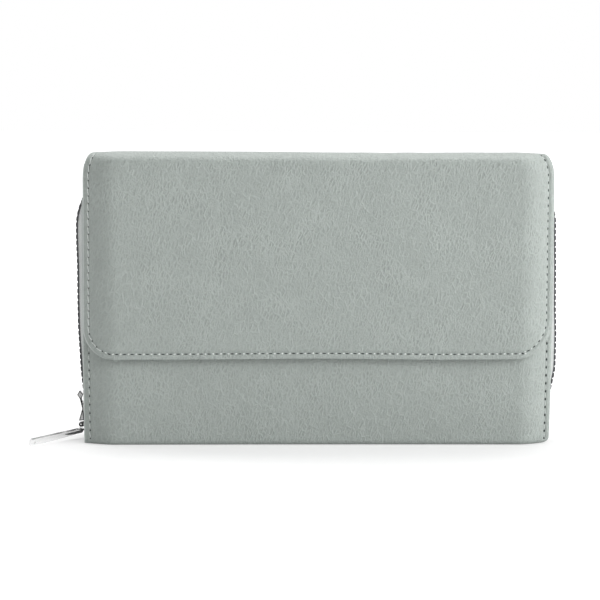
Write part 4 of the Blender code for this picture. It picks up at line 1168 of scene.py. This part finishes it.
# The pin's riveted head, as a dark ring of painted shade round a bright middle: radii and rises in mm
RIVET = (
    ("zip_slider_pin_ring_shade", (0.98, 0.95, 0.4, 0.36), (0.0, 0.1, 0.1, 0.0), SILVER_EDGE_SHADE),
    ("zip_slider_pin_head", (0.4, 0.34, 0.18, 0.0), (0.0, 0.14, 0.2, 0.21), SILVER_PULL),
)
RIVET_SIDES = 28


def make_rivet():
    for name, radii, rises, material in RIVET:
        verts = []
        for radius, rise in zip(radii, rises):
            centre = PIN_PLACE + Vector((0.0, PIN_HEAD_Y - ZIP_Y - rise * MM, 0.0))
            reach = radius * MM
            verts += circle(centre, Vector((reach, 0.0, 0.0)), Vector((0.0, 0.0, reach)), RIVET_SIDES)
        link_faces(name, verts, ring_faces(len(radii), RIVET_SIDES), material, "zip_slider")


def make_pull_painted_reflection():
    """A near-black tapered wedge along the middle of the pull, from its stem outwards, set into its face and
    just proud of it: a painted reflection.
    """
    _, run, face, across = pull_axes()
    tab = [v.co - PIN_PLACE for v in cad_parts["zip_pull"].data.vertices]
    skin = max(p.dot(face) for p in tab if p.dot(run) > PULL_STEM + 2 * MM)
    under, over = (face * (skin + depth) for depth in PAINTED_WEDGE_DEPTHS)
    verts = []
    for length, low, high in PAINTED_WEDGE:
        middle = PIN_PLACE + run * length * MM
        for width, level in ((low, under), (low, over), (high, over), (high, under)):
            verts.append(middle + across * width * MM + level)
    faces = ring_faces(len(PAINTED_WEDGE), 4, ends=(-1, 1))
    link_faces("zip_pull_painted_reflection", verts, faces, SILVER_EDGE_SHADE, "zip_pull", smooth=False)


def make_metal():
    dressed("zip_slider", "zip_slider_casting", "zip_slider", 0.12, SILVER_CAST, shaped=outlined)
    dressed("zip_slider_back_plate", "zip_slider_back", "zip_slider", 0.2, SILVER_CAST)
    make_rivet()
    make_pull_painted_reflection()
    dressed("zip_pull", "zip_pull_tab", "zip_pull", 0.16, SILVER_PULL, SILVER_PULL_EDGE_SHADE, widen_pull)
    dressed("coin_zip_slider", "coin_zip_slider_casting", "coin_zip_slider", 0.12, SILVER_CAST)
    dressed("coin_zip_slider_back_plate", "coin_zip_slider_back", "coin_zip_slider", 0.12, SILVER_CAST)
    dressed("coin_zip_pull", "coin_zip_pull_tab", "coin_zip_pull", 0.14)
    dressed("snap_stud", "snap_stud_disc", "front_case", 0.12)
    dressed("snap_socket", "snap_socket_disc", "flap", 0.12)


WHITE = (1.0, 1.0, 1.0)
FLOOR_COLOUR = (0.68, 0.68, 0.68)
FLOOR_SIZE = 3.0
FLOOR_DROP = 0.05 * MM
FLOOR_GLOW = 0.385
FAR_GLOW = 0.55
GLOW_REACH = (0.16, 0.5)
WORLD_LIGHT = 0.42
CAMERA_SIDE_DIM = 0.8


def make_stage():
    """A white floor: it takes soft shadows, and its own glow makes it white to the camera."""
    look = Surface("floor_white")
    look.finish(FLOOR_COLOUR, 0.8, specular=0.1)
    path = look.add("LightPath", {}).outputs
    seen = look.plus(path["Is Camera Ray"], path["Is Glossy Ray"], clamp=True)
    away = look.add("VectorMath", {0: look.place}, operation="LENGTH").outputs["Value"]
    far = look.ramp(away, (GLOW_REACH[0], 0.0), (GLOW_REACH[1], 1.0))
    strength = look.times(seen, look.plus(look.times(far, FAR_GLOW), FLOOR_GLOW))
    glow = look.add("Emission", {"Color": WHITE, "Strength": strength})
    both = look.add("AddShader", {0: look.shader.outputs[0], 1: glow.outputs[0]})
    look.feed(look.tree.nodes["Material Output"].inputs["Surface"], both.outputs[0])
    corners = [(x * FLOOR_SIZE, y * FLOOR_SIZE, -FLOOR_DROP) for x, y in ((-1, -1), (1, -1), (1, 1), (-1, 1))]
    mesh = from_lists("floor", corners, [[0, 1, 2, 3]])
    mesh.materials.append(look.material)
    new_object("floor", mesh)


def make_world():
    """White to the camera; as light it is dimmer, and dimmest from the camera's side."""
    world = bpy.data.worlds.new("studio")
    bpy.context.scene.world = world
    world.use_nodes = True
    look = Nodes(world.node_tree)
    path = look.add("LightPath", {}).outputs
    seen = look.plus(path["Is Camera Ray"], path["Is Transmission Ray"], clamp=True)
    place = look.add("TexCoord", {}).outputs["Generated"]
    depth = look.add("SeparateXYZ", {0: place}).outputs[1]
    towards = look.ramp(look.times(depth, -1.0), (0.35, 0.0), (0.95, 1.0))
    room = look.maths("SUBTRACT", 1.0, look.times(towards, 1.0 - CAMERA_SIDE_DIM))
    level = look.plus(look.times(path["Is Glossy Ray"], 1.0 - WORLD_LIGHT), WORLD_LIGHT)
    lit = look.times(look.times(room, level), look.maths("SUBTRACT", 1.0, seen))
    back = world.node_tree.nodes["Background"]
    look.feed(back.inputs["Color"], WHITE)
    look.feed(back.inputs["Strength"], look.plus(lit, seen))


# Each area light's place, its size in metres and its power
LIGHTS = {
    "right": ((1.0, -0.35, 0.3), (0.6, 0.7), 7.5),
    "left": ((-1.0, 0.6, 0.3), (0.5, 0.6), 6.0),
    "top_back": ((0.05, 0.35, 1.0), (0.9, 0.5), 6.2),
    "top_front": ((0.5, -0.85, 0.62), (0.5, 0.4), 2.9),
    "front": ((0.15, -1.5, 0.3), (0.6, 0.5), 1.6),
}
LIGHT_TARGET = Vector((0.0, -0.01, 0.06))


def make_lights():
    for name, (place, size, energy) in LIGHTS.items():
        data = bpy.data.lights.new(name, "AREA")
        data.shape = "RECTANGLE"
        data.size, data.size_y = size
        data.energy = energy
        made = new_object(name, data)
        made.location = place
        made.rotation_euler = (LIGHT_TARGET - Vector(place)).to_track_quat("-Z", "Y").to_euler()


CAMERA_DISTANCE = 1.1
CAMERA_AZIMUTH = math.radians(-1.7)
CAMERA_ROLL = math.radians(0.28)
CAMERA_ELEVATION = math.radians(6.0)
CAMERA_AIM = Vector((-0.0076, -0.0165, 0.0602))
SENSOR_WIDTH = 36.0
PICTURE_WIDTH = 600 * 0.4094 * MM


def make_camera():
    data = bpy.data.cameras.new("camera")
    data.sensor_width = SENSOR_WIDTH
    data.lens = SENSOR_WIDTH * CAMERA_DISTANCE / PICTURE_WIDTH
    data.clip_start = 0.05
    made = new_object("camera", data)
    away = Vector((
        math.sin(CAMERA_AZIMUTH) * math.cos(CAMERA_ELEVATION),
        -math.cos(CAMERA_AZIMUTH) * math.cos(CAMERA_ELEVATION),
        math.sin(CAMERA_ELEVATION),
    ))
    made.location = CAMERA_AIM + away * CAMERA_DISTANCE
    roll = Matrix.Rotation(CAMERA_ROLL, 4, "Z")
    made.rotation_euler = ((-away).to_track_quat("-Z", "Y").to_matrix().to_4x4() @ roll).to_euler()
    bpy.context.scene.camera = made


make_front_panel()
make_lining("front_pocket_lining", pocket_surface, 4, "front_case", "front_panel_lining")
make_back_panel()
make_flap()
make_lining("flap_inner_face", lambda depth: flap_surface(depth, FLAP_LINING_INSET), 2, "flap", "flap_lining")
make_inside()
make_zips()
make_purse()
make_gussets()
make_metal()
make_stage()
make_world()
make_lights()
make_camera()
bpy.context.scene.view_settings.view_transform = "Standard"
